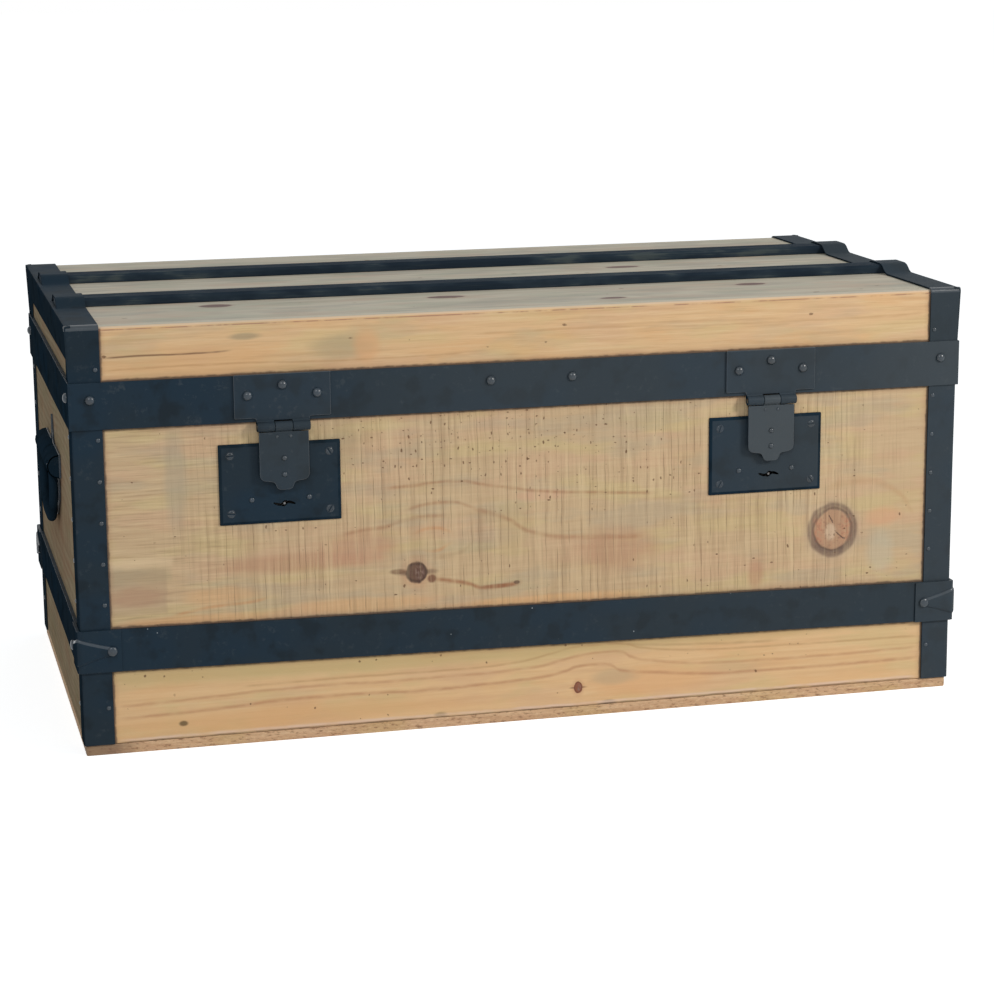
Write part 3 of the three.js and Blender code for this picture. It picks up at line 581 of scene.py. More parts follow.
def pine_rings(coat, seed, heart, ring, wander, bulges):
    """0 in early wood, rising to 1 in late wood, for a board cut beside the tree's heart."""
    along, across, depth = coat.along, coat.across, coat.depth
    up = across - heart[0] + coat.shake(along / 260, seed, 3.1, 1, 2 * wander)
    back = depth - heart[1] + coat.shake(along / 330, seed + 5, across / 400, 1, 2 * wander)
    radius = (up * up + back * back).root()
    for place_along, place_across, size in bulges:
        far = ((along - place_along) * 0.62).power(2) + (across - place_across).power(2)
        radius = radius + (1 / (1 + far / (1.7 * size) ** 2)) * (size * 0.9)
    ripple = coat.noise(along / 45, across / 9, depth / 9, detail=2) * 1.1
    turns = (radius + ripple) / ring + coat.noise(radius / (ring * 4), seed, 0.7) * 2
    share = turns.part()
    return share.rise(0.25, 0.82) * share.fall(0.86, 1.0)


def pine(name, seed, heart, ring, wander, figure, early, late, pale, clouds, layers,
         fibres=1.0, bulges=(), axes="xzy", specular=WOOD_SPECULAR):
    """Bare pine: growth rings, clouds of colour, fibres, and the board's own layers.
    heart is where the middle of the tree lies, across the board and behind it. axes says which ones
    run along the board, across it and through it. figure and fibres are how strongly both show."""
    coat = Shader(name)
    along, across, depth = (getattr(coat, axis) for axis in axes)
    coat.lay_out(along, across, depth)
    rings = pine_rings(coat, seed, heart, ring, wander, bulges)
    fade = coat.noise(along / 170, across / 60, depth / 60 + seed)
    fibre = coat.noise(along / 26, across / 0.9 + seed, depth / 0.9, detail=2, roughness=0.65)
    colour = coat.mix(rings * (0.5 + fade) * figure, early, late)
    coat.begin(colour, 0.62 + fibre * 0.2, fibre * 0.16)
    for index, (cloud_colour, share) in enumerate(clouds):
        cloud = coat.noise(along / 85 + index * 5.3, across / 24, depth / 40 - seed, detail=3)
        coat.paint(cloud.rise(0.48, 0.64) * share, cloud_colour)
    streak = coat.noise(along / 90, across / 3.6 - seed, depth / 3.6, detail=2)
    coat.paint(fibre.rise(0.54, 0.76) * (0.3 * fibres), late)
    coat.paint(fibre.fall(0.24, 0.46) * (0.3 * fibres), pale)
    coat.paint(streak.rise(0.52, 0.72) * (0.26 * fibres), late)
    coat.paint(streak.fall(0.3, 0.5) * (0.26 * fibres), pale)
    for paint in layers:
        paint(coat, along, across, depth)
    return coat.finish(specular)


def layer(paint):
    """Lets a layer's own settings be given first. Its board paints it later."""
    def with_settings(*settings, **named):
        return lambda coat, *place: paint(coat, *place, *settings, **named)
    return with_settings


SAW_SPACING = 8.5
SAW_SLANT = 0.012
SAW_DARK = tint(150, 120, 90)
SAW_LINE = tint(128, 104, 76)
SAW_PALE = tint(230, 204, 160)


@layer
def saw_marks(coat, along, across, depth, strength, reach):
    """Upright lines that a coarse saw left across the board, from reach's start to its end, softly."""
    start, end, soft = reach
    sway = coat.shake(across / 90, along / 200, 2.5, 1, 2.5)
    sway = sway + coat.shake(across / 16, along / 30, 5.1, 2, 1.6)
    place = along + across * SAW_SLANT + sway
    zone = coat.noise(along / 70, across / 60, 8.8, detail=2).rise(0.3, 0.6)
    mask = (along - start).rise(0, soft) * (end - along).rise(0, soft) * (0.35 + zone * 0.65) * strength
    wide = coat.noise(place / 5.2, across / 130, 1.7, detail=1)
    fine = coat.noise(place / 1.8, across / 45, 6.2, detail=1)
    line = coat.borders(place / SAW_SPACING).fall(0.0, 0.08)
    broken = coat.noise(place / 7, across / 34, 4.2, detail=2).rise(0.34, 0.58)
    coat.paint(wide.rise(0.5, 0.75) * mask * 0.3, SAW_DARK)
    coat.paint(wide.fall(0.25, 0.5) * mask * 0.3, SAW_PALE)
    coat.paint(fine.rise(0.52, 0.75) * mask * 0.24, SAW_DARK)
    coat.paint(fine.fall(0.25, 0.48) * mask * 0.24, SAW_PALE)
    coat.paint(line * broken * mask * 0.5, SAW_LINE)
    coat.carve(line * broken * mask, 0.25)
    coat.carve((1 - fine) * mask, 0.12)


SPECK_DARK = tint(112, 82, 56)
STAIN_RAGGED = 0.5


@layer
def specks(coat, along, across, depth, spacing, share, stretch=(1.0, 1.8), zones=()):
    """Small dark marks; each zone is (along, across, reach along, reach across, extra share)."""
    shake = coat.noise(along / 3, across / 3, 1.3, detail=2) * 0.3
    length, width = (spacing * factor for factor in stretch)
    distance, chance, size = coat.cells(along / length + shake, across / width)
    wanted = share
    for centre_along, centre_across, reach_along, reach_across, extra in zones:
        near = coat.far_from((centre_along, centre_across), (reach_along, reach_across))
        wanted = near.fall(0.55, 1.22, extra) + wanted
    here = (chance - (1 - wanted)).rise(-0.01, 0.01)
    spot = (distance - (size * size * 0.09 + 0.035)).fall(-0.02, 0.045)
    coat.paint(spot * here * (0.35 + size * 0.5), SPECK_DARK)
    coat.carve(spot * here, 0.3)


@layer
def stain(coat, along, across, depth, place, reach, colour, share, soft=0.45):
    """A cloudy patch round a place on the board, as (along, across)."""
    distance = coat.far_from(place, reach) + coat.ragged * STAIN_RAGGED
    coat.paint(distance.fall(1 - soft, 1 + soft, share), colour)


@layer
def panel(coat, along, across, depth, low, high, colour, share, soft):
    """A patch with straight sides, from one (along, across) corner to the other."""
    rough = coat.wobble * (soft * 2)
    inside = (along + rough).hill(low[0], high[0], soft) * (across + rough).hill(low[1], high[1], soft)
    coat.paint(inside * share, colour)


@layer
def thread(coat, along, across, depth, points, colour, width, share):
    """A thin line of colour along the grain, through (along, across) points."""
    start, end = points[0][0], points[-1][0]
    distance = (across - coat.curve(along, points) - coat.wobble * (width * 1.4)).size()
    inside = along.hill(start + 8, end - 8, 8)
    coat.paint(distance.fall(0, width * 1.7, share) * inside * coat.gaps, colour)


@layer
def combed(coat, along, across, depth, reach, share, seed):
    """Faint strokes along the grain between two places along the board."""
    stroke = coat.noise(along / 42, across / 1.9, seed, detail=2)
    mask = along.hill(reach[0], reach[1], 18) * share
    coat.paint(stroke.rise(0.52, 0.7) * mask, SAW_DARK)
    coat.paint(stroke.fall(0.3, 0.48) * mask, SAW_PALE)


KNOT_RIM = tint(70, 51, 46)
KNOT_HEART = tint(90, 62, 54)
KNOT_STREAK = tint(140, 114, 102)
KNOT_RED = tint(196, 134, 104)


@layer
def dark_knot(coat, along, across, depth, place, size, heart=KNOT_HEART, rim=KNOT_RIM, tall=1.0):
    """A small sound knot: dark all over, with a darker rim and short tails along the grain."""
    rough = coat.shake(along / (size * 0.7), across / (size * 0.7), 6.1, 3, size * 0.4)
    radius = coat.far_from(place, (1, tall)) + rough
    tail = coat.far_from(place, (size * 2.2, size * 0.34)) + coat.ragged
    coat.paint(radius.fall(size * 0.9, size * 1.9, 0.3), KNOT_RED)
    coat.paint(tail.fall(0.5, 1.15, 0.6), rim)
    grain = coat.noise(along / 1.6, across / 4, 3.7, detail=2)
    coat.paint(radius.fall(size * 0.82, size * 1.08, 0.95), heart)
    middle = (place[0] + size * 0.25, place[1])
    streaked = coat.far_from(middle, (size * 0.5, size * 0.75 * tall)).fall(0.55, 1.1)
    coat.paint(streaked * grain.rise(0.42, 0.62, 0.8), KNOT_STREAK)
    coat.paint(radius.hill(size * 0.74, size * 0.98, size * 0.1) * 0.75, rim)
    coat.carve(radius.hill(size * 0.75, size * 0.98, size * 0.1), 0.3)


RING_OUTER = tint(116, 92, 80)
RING_LINE = tint(84, 68, 64)
RING_INSIDE = tint(184, 144, 114)
CRACKS = [((-4, 16), (1, 6)), ((3, -2), (14, -11))]
CRACK_SHARE = 0.75


def crack(coat, u, v, start, end):
    """A dark split between two points of a knot."""
    reach = Vector(end) - Vector(start)
    length = reach.length
    way = reach / length
    run = (u - start[0]) * way.x + (v - start[1]) * way.y
    side = (v - start[1]) * way.x - (u - start[0]) * way.y
    wobble = coat.shake(u / 4, v / 4, 8.1, 2, 3)
    split = (side + wobble).size().fall(0.2, 0.9) * run.hill(1, length - 1, 1)
    coat.paint(split * CRACK_SHARE, RING_LINE)
    coat.carve(split, 0.5)


@layer
def ringed_knot(coat, along, across, depth, place, size):
    """A large loose knot: a double ring of dark bark round a tan heart with reddish sides and splits."""
    u, v = along - place[0], across - place[1]
    rough = coat.shake(along / 14, across / 14, 2.1, 3, size * 0.16)
    radius = coat.far_from(place, (1, 1.066)) + rough
    grain = coat.noise(along / 3, across / 3, 5.5, detail=3)
    coat.paint(radius.fall(size * 0.95, size * 1.35, 0.35), tint(184, 158, 138))
    coat.paint(radius.fall(size * 0.9, size * 1.1) * (0.5 + grain * 0.45), RING_OUTER)
    coat.paint(radius.fall(size * 0.68, size * 0.84), RING_INSIDE)
    sides = (u.size() / (size * 0.5)).hill(0.75, 1.5, 0.3) * (v.size() / (size * 0.6)).fall(0.5, 1.1)
    coat.paint(sides * grain.rise(0.38, 0.58, 0.75), KNOT_RED)
    pale = coat.far_from((place[0] - 2, place[1] - 2), (6, 9))
    coat.paint(pale.fall(0.63, 1.26, 0.6), tint(222, 196, 166))
    coat.paint(grain.rise(0.5, 0.68) * radius.fall(size * 0.6, size * 0.78, 0.45), tint(140, 104, 84))
    for start, end in CRACKS:
        crack(coat, u, v, start, end)
    coat.paint(radius.hill(size * 0.94, size * 0.99, size * 0.07) * 0.5, RING_LINE)
    coat.paint(radius.hill(size * 0.75, size * 0.8, size * 0.06) * 0.8, RING_LINE)
    coat.paint(radius.hill(size * 0.7, size * 0.9, size * 0.06) * (v / size).fall(-0.7, 0.2, 0.4), RING_LINE)
    coat.carve(radius.hill(size * 0.74, size * 0.82, size * 0.04), 0.5)


# The dark line next to the steel is grime, and painted shade where the steel meets the wood.
GRIME_AND_SHADE = tint(70, 56, 52)
GRIME_RED = tint(180, 130, 96)
GRIME_AND_SHADE_WIDTH = 3.0
GRIME_AND_SHADE_SHARE = 0.8


@layer
def grime_and_shade(coat, along, across, depth, edges):
    """Paint and rust along the steel, and a dark line at its edges that is grime and painted contact shade
    together; each edge is a function of (along, across) to the distance from it.
    """
    shake = coat.shake(along / 8, across / 8, 9.1, 4, 3)
    spread = coat.noise(along / 45, across / 45, 4.4, detail=2) * 8
    distance = edges[0](along, across)
    for edge in edges[1:]:
        distance = distance.least(edge(along, across))
    near = distance.rise(-6, -3) * depth.size().rise(WOOD_HALF_DEPTH - 2, WOOD_HALF_DEPTH - 1)
    coat.paint((distance - spread).fall(-4, 3, 0.3) * near, GRIME_RED)
    # The dark line at the steel's edge: grime and painted contact shade together.
    coat.paint((distance - shake).fall(0.6, GRIME_AND_SHADE_WIDTH, GRIME_AND_SHADE_SHARE) * near, GRIME_AND_SHADE)


# Boards. Heights across the front boards are real heights over the floor.

ANGLE_EDGE = HALF_WIDTH - ANGLE_LEG


def left_edge(along, across):
    return along + ANGLE_EDGE


def right_edge(along, across):
    return ANGLE_EDGE - along


def below(level):
    return lambda along, across: level - across


def above(level):
    return lambda along, across: across - level


def lower_band_edge(offset, sign):
    """Distance from an edge of the lower band, which is nailed on askew."""
    slope = (LOWER_BAND_RIGHT - LOWER_BAND_LEFT) / (2 * HALF_WIDTH)
    middle = (LOWER_BAND_LEFT + LOWER_BAND_RIGHT) / 2
    return lambda along, across: (across - (along * slope + (middle + offset))) * sign


GREY = tint(176, 162, 138)
YELLOW = tint(206, 184, 132)
PINK = tint(210, 168, 136)
ORANGE = tint(224, 174, 122)
RED_WOOD = tint(190, 142, 112)
BROWN_LINE = tint(166, 116, 82)
ORANGE_LINE = tint(206, 142, 92)
SOFT_LINE = tint(184, 132, 96)
PALE_WOOD = tint(232, 204, 164)
PLANK_TOP = tint(202, 193, 174)
DARK_CRACK = tint(116, 86, 62)

SMALL_KNOT = (-115, 158)
BIG_KNOT = (312, 173)
LOWER_KNOT = (47, 29.5)


def front_upper_board():
    """The sawn board between the bands, with its two knots."""
    return dict(
        seed=1.0, heart=(186, -330), ring=11, wander=9,
        figure=0.12, fibres=0.55,
        bulges=[(*SMALL_KNOT, 11), (*BIG_KNOT, 25)],
        early=tint(205, 176, 138), late=tint(178, 136, 102), pale=tint(226, 200, 160),
        clouds=[(YELLOW, 0.55), (PINK, 0.4), (GREY, 0.4)],
        layers=[
            combed((-420, -290), 0.32, 2.2),
            panel((-420, 134), (-357, 178), tint(178, 150, 122), 0.45, 2.2),
            panel((-414, 165), (-352, 181), tint(172, 156, 122), 0.35, 4),
            panel((-414, 181), (-350, 189), PALE_WOOD, 0.45, 3),
            stain((-385, 152), (26, 9), tint(178, 134, 108), 0.4),
            stain((-195, 290), (30, 24), tint(170, 148, 112), 0.5),
            stain((-345, 265), (10, 46), GREY, 0.5),
            stain((-305, 148), (34, 9), ORANGE, 0.45),
            stain((-170, 130), (70, 7), ORANGE, 0.5),
            stain((-330, 126), (70, 5), ORANGE, 0.6),
            stain((20, 122), (90, 5), ORANGE, 0.7),
            stain((-240, 176), (70, 9), RED_WOOD, 0.6),
            stain((-172, 186), (34, 18), tint(196, 146, 116), 0.6),
            stain((85, 168), (38, 22), RED_WOOD, 0.55),
            stain((10, 227), (26, 5), PINK, 0.8),
            stain((231, 133), (8, 15), RED_WOOD, 0.6),
            stain((366, 184), (18, 9), tint(222, 160, 120), 0.4),
            stain((364, 147), (14, 20), tint(196, 190, 166), 0.4),
            stain((-20, 195), (14, 26), tint(196, 170, 128), 0.5),
            thread([(-148, 243), (-115, 244), (-80, 246), (-48, 241), (-20, 236), (10, 231), (75, 226),
                    (130, 222)], BROWN_LINE, 1.7, 0.6),
            thread([(-130, 219), (-110, 224), (-88, 226), (-64, 221), (-52, 215)], BROWN_LINE, 1.8, 0.55),
            thread([(-62, 219), (-40, 212), (-20, 203), (-6, 193), (20, 186), (60, 182), (118, 180)],
                   BROWN_LINE, 2.6, 0.5),
            thread([(-192, 199), (-168, 203), (-146, 205), (-130, 210), (-110, 213), (-80, 212)],
                   BROWN_LINE, 2.0, 0.5),
            thread([(-122, 192), (-112, 199), (-98, 201), (-84, 198), (-76, 190)], ORANGE_LINE, 1.8, 0.55),
            thread([(-112, 180), (-98, 178), (-84, 183), (-76, 190)], ORANGE_LINE, 1.8, 0.5),
            thread([(-104, 172), (-88, 172), (-70, 176), (-58, 186), (-54, 200)],
                   tint(176, 146, 112), 2.2, 0.5),
            thread([(-104, 151), (-80, 147), (-62, 143), (-46, 138), (-24, 140), (-6, 142)],
                   BROWN_LINE, 2.2, 0.9),
            thread([(-356, 131), (-320, 137), (-300, 139), (-280, 140), (-255, 144)], ORANGE_LINE, 1.6, 0.5),
            thread([(300, 214), (340, 222), (372, 214), (396, 190), (404, 160)], tint(196, 156, 116), 4, 0.5),
            stain((-15, 141.5), (3, 1.8), KNOT_RIM, 0.7, soft=0.3),
            stain((-34, 139), (16, 2), tint(150, 98, 68), 0.8, soft=0.5),
            dark_knot(SMALL_KNOT, 11),
            stain((-100, 151), (4, 4), tint(110, 66, 50), 0.85, soft=0.35),
            stain((-133, 160), (8, 2.6), tint(110, 78, 58), 0.7, soft=0.4),
            ringed_knot(BIG_KNOT, 26),
            saw_marks(1.0, (-400, 430, 150)),
            specks(7, 0.03, (1.0, 1.9), [(-90, 285, 170, 40, 0.4), (70, 262, 170, 60, 0.16),
                                         (-30, 190, 240, 90, 0.06)]),
            specks(6, 0.03, (1.6, 1.0), [(-60, 290, 170, 34, 0.34), (352, 126, 30, 7, 0.4),
                                         (100, 250, 160, 60, 0.1)]),
            grime_and_shade([left_edge, right_edge, below(LID_BAND_LOW), lower_band_edge(LOWER_BAND_WIDTH / 2, 1)]),
        ],
    )


def front_lower_board():
    """The planed board under the lower band: two dark rings that climb over a small knot."""
    return dict(
        seed=4.0, heart=(-90, -330), ring=9, wander=7,
        figure=0.14, fibres=0.5,
        bulges=[(*LOWER_KNOT, 6)],
        early=tint(230, 191, 143), late=tint(196, 148, 104), pale=tint(238, 210, 166),
        clouds=[(tint(212, 188, 136), 0.5), (PINK, 0.3), (ORANGE, 0.3)],
        layers=[
            stain((-100, 76), (460, 13), tint(200, 176, 124), 0.7),
            stain((125, 32), (60, 14), tint(228, 170, 120), 0.4),
            stain((-250, 24), (200, 10), ORANGE, 0.5),
            stain((85, 38), (22, 8), tint(196, 170, 134), 0.6),
            thread([(-411, 46), (-320, 49), (-230, 52), (-113, 51), (-14, 53), (27, 58), (58, 63), (81, 64),
                    (99, 58), (121, 52), (237, 43), (411, 44)], SOFT_LINE, 1.6, 0.5),
            thread([(-411, 34), (-310, 37), (-210, 41), (-113, 39), (-26, 41), (9, 43), (36, 48), (58, 52),
                    (77, 51), (90, 44), (119, 40), (237, 32), (411, 33)], SOFT_LINE, 1.7, 0.62),
            thread([(-290, 57), (-200, 58), (-60, 58), (20, 66), (70, 72), (110, 66), (200, 58), (411, 56)],
                   tint(180, 140, 96), 1.2, 0.5),
            thread([(60, 78), (100, 70), (150, 66), (260, 62)], tint(180, 146, 104), 1.4, 0.5),
            dark_knot(LOWER_KNOT, 4.4, tint(140, 86, 66), tint(118, 70, 54), 1.4),
            stain((-345, 25), (4.4, 2.7), tint(112, 92, 62), 0.9, soft=0.35),
            stain((-93, 13), (6, 2.5), tint(140, 118, 86), 0.6),
            stain((79, 12), (7, 2.5), tint(130, 112, 84), 0.7),
            specks(9, 0.05, (1.0, 1.2), [(-60, 76, 420, 5, 0.2), (-400, 60, 12, 24, 0.2)]),
            thread([(-411, 12.2), (-200, 13), (0, 12.4), (200, 13), (411, 12.4)],
                   tint(232, 204, 184), 1.6, 0.7),
            thread([(-411, 10.8), (-250, 11.2), (0, 10.8), (230, 11.3), (411, 11)],
                   tint(110, 84, 66), 0.9, 0.7),
            grime_and_shade([left_edge, right_edge, lower_band_edge(-LOWER_BAND_WIDTH / 2, -1)]),
        ],
    )


def pale_top_edge(coat, along, across, depth):
    """The weathered upper side of the lid's front board, a pale line along its top edge, and the dark joint
    under it.
    """
    rough = coat.noise(along / 14, 0.5, 2.2, detail=3)
    joint = (across - (LID_TOP - 3.4)).size().fall(0.2, 0.9)
    coat.paint(joint * rough.rise(0.35, 0.6, 0.65), tint(150, 98, 82))
    # A pale line along the top edge of the front face.
    coat.paint(across.rise(LID_TOP - 2.2, LID_TOP - 1.4, 0.55), tint(228, 204, 178))
    coat.paint(across.rise(LID_TOP - 0.5, LID_TOP - 0.2), PLANK_TOP)


def lid_front_board():
    """The lid's front: warm and planed, weathered on top."""
    return dict(
        seed=7.0, heart=(470, -300), ring=7, wander=7,
        figure=0.14, fibres=1.1,
        early=tint(224, 185, 139), late=tint(188, 146, 103), pale=tint(234, 205, 162),
        clouds=[(tint(212, 188, 136), 0.5), (ORANGE, 0.4), (PINK, 0.35), (GREY, 0.25)],
        layers=[
            stain((-276, 396), (14, 3), tint(164, 146, 116), 0.7),
            stain((-185, 381), (28, 12), tint(176, 158, 124), 0.6),
            stain((-160, 382), (12, 14), tint(226, 168, 118), 0.5),
            stain((320, 375), (120, 24), PALE_WOOD, 0.05),
            stain((-330, 372), (90, 16), ORANGE, 0.4),
            thread([(-412, 381), (-380, 382), (-330, 382), (-285, 383.5)], DARK_CRACK, 0.9, 0.85),
            thread([(-412, 368), (-300, 371), (-180, 369), (-60, 372)], tint(188, 142, 96), 1.0, 0.5),
            thread([(-60, 386), (60, 389), (200, 386), (411, 390)], tint(190, 146, 102), 1.1, 0.4),
            specks(12, 0.05, (1.6, 1.0), [(-10, 385, 160, 20, 0.05)]),
            grime_and_shade([left_edge, right_edge, above(LID_BAND_HIGH)]),
            pale_top_edge,
        ],
    )


def rear_board(seed, heart, *edges):
    return dict(
        seed=seed, heart=heart, ring=7.5, wander=16, figure=0.42, fibres=0.8,
        early=tint(212, 178, 136), late=tint(180, 134, 94), pale=tint(228, 198, 156),
        clouds=[(YELLOW, 0.45), (PINK, 0.3), (GREY, 0.45)],
        layers=[
            saw_marks(0.6, (-440, 440, 40)),
            specks(9, 0.04),
            specks(10, 0.04, (1.8, 1.0)),
            grime_and_shade([left_edge, right_edge, *edges]),
        ],
    )


def end_board(seed, heart):
    return dict(
        axes="yzx", seed=seed, heart=heart, ring=6.5, wander=11, figure=0.4, fibres=0.8,
        # No gloss on the end boards, so that they come out darker: painted shade for an end that stands in
        # shade.
        specular=0.0,
        early=tint(166, 148, 121), late=tint(134, 109, 87), pale=tint(184, 165, 137),
        clouds=[(tint(150, 138, 108), 0.5), (tint(164, 128, 102), 0.4)],
        layers=[
            stain((20, 200), (150, 60), tint(150, 112, 88), 0.4),
            saw_marks(0.5, (-230, 230, 40)),
            specks(9, 0.05),
        ],
    )


TOP_KNOT = tint(112, 88, 84)


@layer
def eye_knot(coat, along, across, depth, place, reach):
    """A knot cut lengthwise: a dark lens along the grain."""
    u, v = (along - place[0]) / reach[0], (across - place[1]) / reach[1]
    rough = coat.shake(along / 8, across / 6, 3.9, 3, 0.5)
    lens = u.size().power(1.8) + v * v + rough
    coat.paint(lens.fall(0.95, 1.6, 0.35), tint(176, 148, 132))
    coat.paint(lens.fall(0.7, 1.05, 0.85), TOP_KNOT)
    coat.paint((v.size() + rough).fall(0.05, 0.45) * u.size().fall(0.4, 1.0, 0.45), tint(78, 60, 58))


def lid_plank(seed, heart, knots):
    return dict(
        axes="xyz", seed=seed, heart=heart, ring=9, wander=16, figure=0.22, fibres=0.7,
        bulges=[(*place, 12) for place, _ in knots],
        early=PLANK_TOP, late=tint(160, 142, 120), pale=tint(206, 196, 174),
        clouds=[(tint(196, 172, 150), 0.5), (tint(176, 176, 156), 0.55), (tint(160, 156, 146), 0.4)],
        layers=[
            *[eye_knot(place, reach) for place, reach in knots],
            specks(14, 0.05, (1.8, 1.0)),
        ],
    )


def bottom_plank(seed):
    return dict(
        axes="xyz", seed=seed, heart=(40, -70), ring=4.0, wander=10, figure=0.3,
        early=tint(216, 178, 140), late=tint(176, 128, 92), pale=tint(234, 204, 166),
        clouds=[(tint(206, 176, 120), 0.4), (PINK, 0.4)],
        layers=[
            rough_edge,
            # Darker at the front left corner, under the corner angle.
            stain((-430, -225), (34, 30), tint(120, 92, 76), 0.7),
        ],
    )


def rough_edge(coat, along, across, depth):
    """Torn fibres and dirt on a sawn edge that stands near the floor."""
    torn = coat.noise(along / 7, across / 5, depth / 2.8, detail=4, roughness=0.65)
    coat.paint(torn.rise(0.52, 0.68, 0.75), tint(140, 100, 72))
    coat.paint(torn.fall(0.34, 0.46, 0.4), tint(238, 208, 166))
    coat.carve(torn, 1.1)


# Paint and steel

STEEL_SPECULAR = 0.1
DULL_SPECULAR = 0.02
RUBBED_SPECULAR = 0.6
BARE_SPECULAR = 0.5
PAINT = tint(34, 46, 55)
PAINT_BLUE = tint(28, 46, 60)
PAINT_BLACK = tint(20, 27, 31)
# Worn paint, and also the colour of the painted sheen that pales the paint towards the right.
PAINT_WORN_AND_SHEEN = tint(76, 82, 86)
CHIP = tint(168, 176, 182)


def painted_steel(name, wear=0.22, lift=0.0, fades=(), chips=0.0, specular=STEEL_SPECULAR, dullness=0.42):
    """Sheet steel under old blue-black paint: cloudy, slightly dimpled, rubbed paler in places.
    lift pales it all over. Each painted sheen is a paler stretch that stands in for light reflected
    on the right: where along X it starts and ends its rise, and its share."""
    coat = Shader(name)
    x, y, z = coat.x, coat.y, coat.z
    cloud = coat.noise(x / 90, y / 90, z / 70, detail=2)
    patch = coat.noise(x / 26 + 7, y / 26, z / 26, detail=3)
    dimples = coat.noise(x / 2.2, y / 2.2, z / 2.2, detail=2)
    dents = coat.noise(x / 30, y / 30, z / 30)
    colour = coat.mix(cloud.rise(0.38, 0.66, 0.8), PAINT, PAINT_BLUE)
    coat.begin(colour, patch * 0.16 + (dullness - 0.08), dimples * 0.03 + dents * 0.7)
    coat.paint(patch.fall(0.34, 0.5, 0.5), PAINT_BLACK)
    rub = coat.noise(x / 7, y / 7, z / 7, detail=4, roughness=0.7)
    coat.paint((rub + patch * 0.5).rise(0.84, 1.0) * wear, PAINT_WORN_AND_SHEEN)
    if lift:
        coat.paint(lift, PAINT_WORN_AND_SHEEN)
    # Painted sheen: the paint paled along X where light is reflected on the right.
    for start, end, share in fades:
        coat.paint(x.rise(start, end) * share, PAINT_WORN_AND_SHEEN)
    if chips:
        distance, chance, size = coat.cells(x / 15, y / 15, z / 15)
        here = (chance - (1 - chips)).rise(-0.01, 0.01)
        chip = (distance - (size * 0.05 + 0.02)).fall(-0.015, 0.015)
        coat.paint(chip * here * 0.85, CHIP)
    return coat.finish(specular)


def painted_slat(name):
    """The same paint on wood: duller, with the grain showing through."""
    coat = Shader(name)
    x, y, z = coat.x, coat.y, coat.z
    grain = coat.noise(x / 60, y / 1.4, z / 1.4, detail=3, roughness=0.6)
    cloud = coat.noise(x / 55, y / 20, z / 20, detail=3)
    colour = coat.mix(cloud.rise(0.4, 0.65), tint(34, 44, 54), tint(46, 57, 66))
    coat.begin(colour, 0.62 + grain * 0.16, grain * 0.3)
    coat.paint(grain.rise(0.58, 0.76, 0.3), tint(70, 78, 78))
    coat.paint((cloud + grain * 0.4).rise(0.78, 0.92, 0.35), tint(96, 102, 96))
    return coat.finish(DULL_SPECULAR)


def bare_steel(name):
    """Oiled steel inside the locks and hinges."""
    coat = Shader(name)
    x, y, z = coat.x, coat.y, coat.z
    cloud = coat.noise(x / 9, y / 9, z / 9, detail=3)
    brushed = coat.noise(x / 12, y / 0.6, z / 0.6, detail=2)
    colour = coat.mix(cloud.rise(0.4, 0.65), tint(122, 124, 126), tint(92, 86, 80))
    coat.begin(colour, 0.34 + cloud * 0.2, brushed * 0.04)
    return coat.finish(BARE_SPECULAR, metallic=0.9)


# Dressing of the CAD nodes that stay

BOARD_EDGE = 0.8
TOP_BOARD_EDGE = 1.2
SLAT_EDGE = 0.6
SMALL_EDGE = 0.2
WELD_REACH = 1e-6
BEVEL_STEPS = 2
BEVEL_TURN = 40


def dress(node, material, edge):
    """Gives a CAD node its finish and takes the sharpness off its edges."""
    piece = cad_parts[node]
    if not piece.material_slots:
        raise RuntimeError(f"{node} has no material slot")
    for holder in piece.material_slots:
        holder.link = "OBJECT"
        holder.material = material
    weld = piece.modifiers.new("weld", "WELD")
    weld.merge_threshold = WELD_REACH
    bevel = piece.modifiers.new("edge", "BEVEL")
    bevel.width = edge * METRES
    bevel.segments = BEVEL_STEPS
    bevel.limit_method = "ANGLE"
    bevel.angle_limit = math.radians(BEVEL_TURN)
    piece.modifiers.new("normals", "WEIGHTED_NORMAL")


PLANK_KNOTS = [
    [((-288, -129.5), (17, 11)), ((-61, -135.5), (20, 9)), ((255, -136.5), (17, 9)), ((95, -190), (14, 6))],
    [((170, 30), (20, 8))],
    [((-160, 150), (18, 9)), ((240, 120), (15, 8))],
]


def dress_board(node, board, edge=BOARD_EDGE):
    dress(node, pine(f"pine_{node}", **board), edge)


def dress_wood():
    dress_board("front_board_upper", front_upper_board())
    dress_board("front_board_lower", front_lower_board())
    dress_board("lid_front_board", lid_front_board(), TOP_BOARD_EDGE)
    half = LOWER_BAND_WIDTH / 2
    rear_upper = rear_board(11, (150, 300), below(LID_BAND_LOW), lower_band_edge(half, 1))
    dress_board("rear_board_upper", rear_upper)
    dress_board("rear_board_lower", rear_board(12, (-60, 320), lower_band_edge(-half, -1)))
    lid_rear = rear_board(13, (470, 300), above(LID_BAND_HIGH))
    lid_rear["layers"].append(pale_top_edge)
    dress_board("lid_rear_board", lid_rear, TOP_BOARD_EDGE)
    for name, side in ENDS.items():
        dress_board(f"{name}_end_board_upper", end_board(20 + side, (190, side * 500)))
        dress_board(f"{name}_end_board_lower", end_board(23 + side, (-80, side * 520)))
        dress_board(f"lid_{name}_end_board", end_board(26 + side, (460, side * 500)))
    for index, knots in enumerate(PLANK_KNOTS):
        dress_board(f"lid_plank_{index + 1}", lid_plank(30 + index * 3, (index * 150 - 170, 330), knots))
    for index in (1, 2):
        dress_board(f"bottom_plank_{index}", bottom_plank(40 + index), TOP_BOARD_EDGE)


# Corners of the body

ANGLE_WAVE = (0.22, 60)
NAIL_INSET = 4.5
NAIL_ROWS = 5
NAIL_DROP = 10
NAIL_RISE = 23.5
LOW_NAIL_SHARE = 0.65


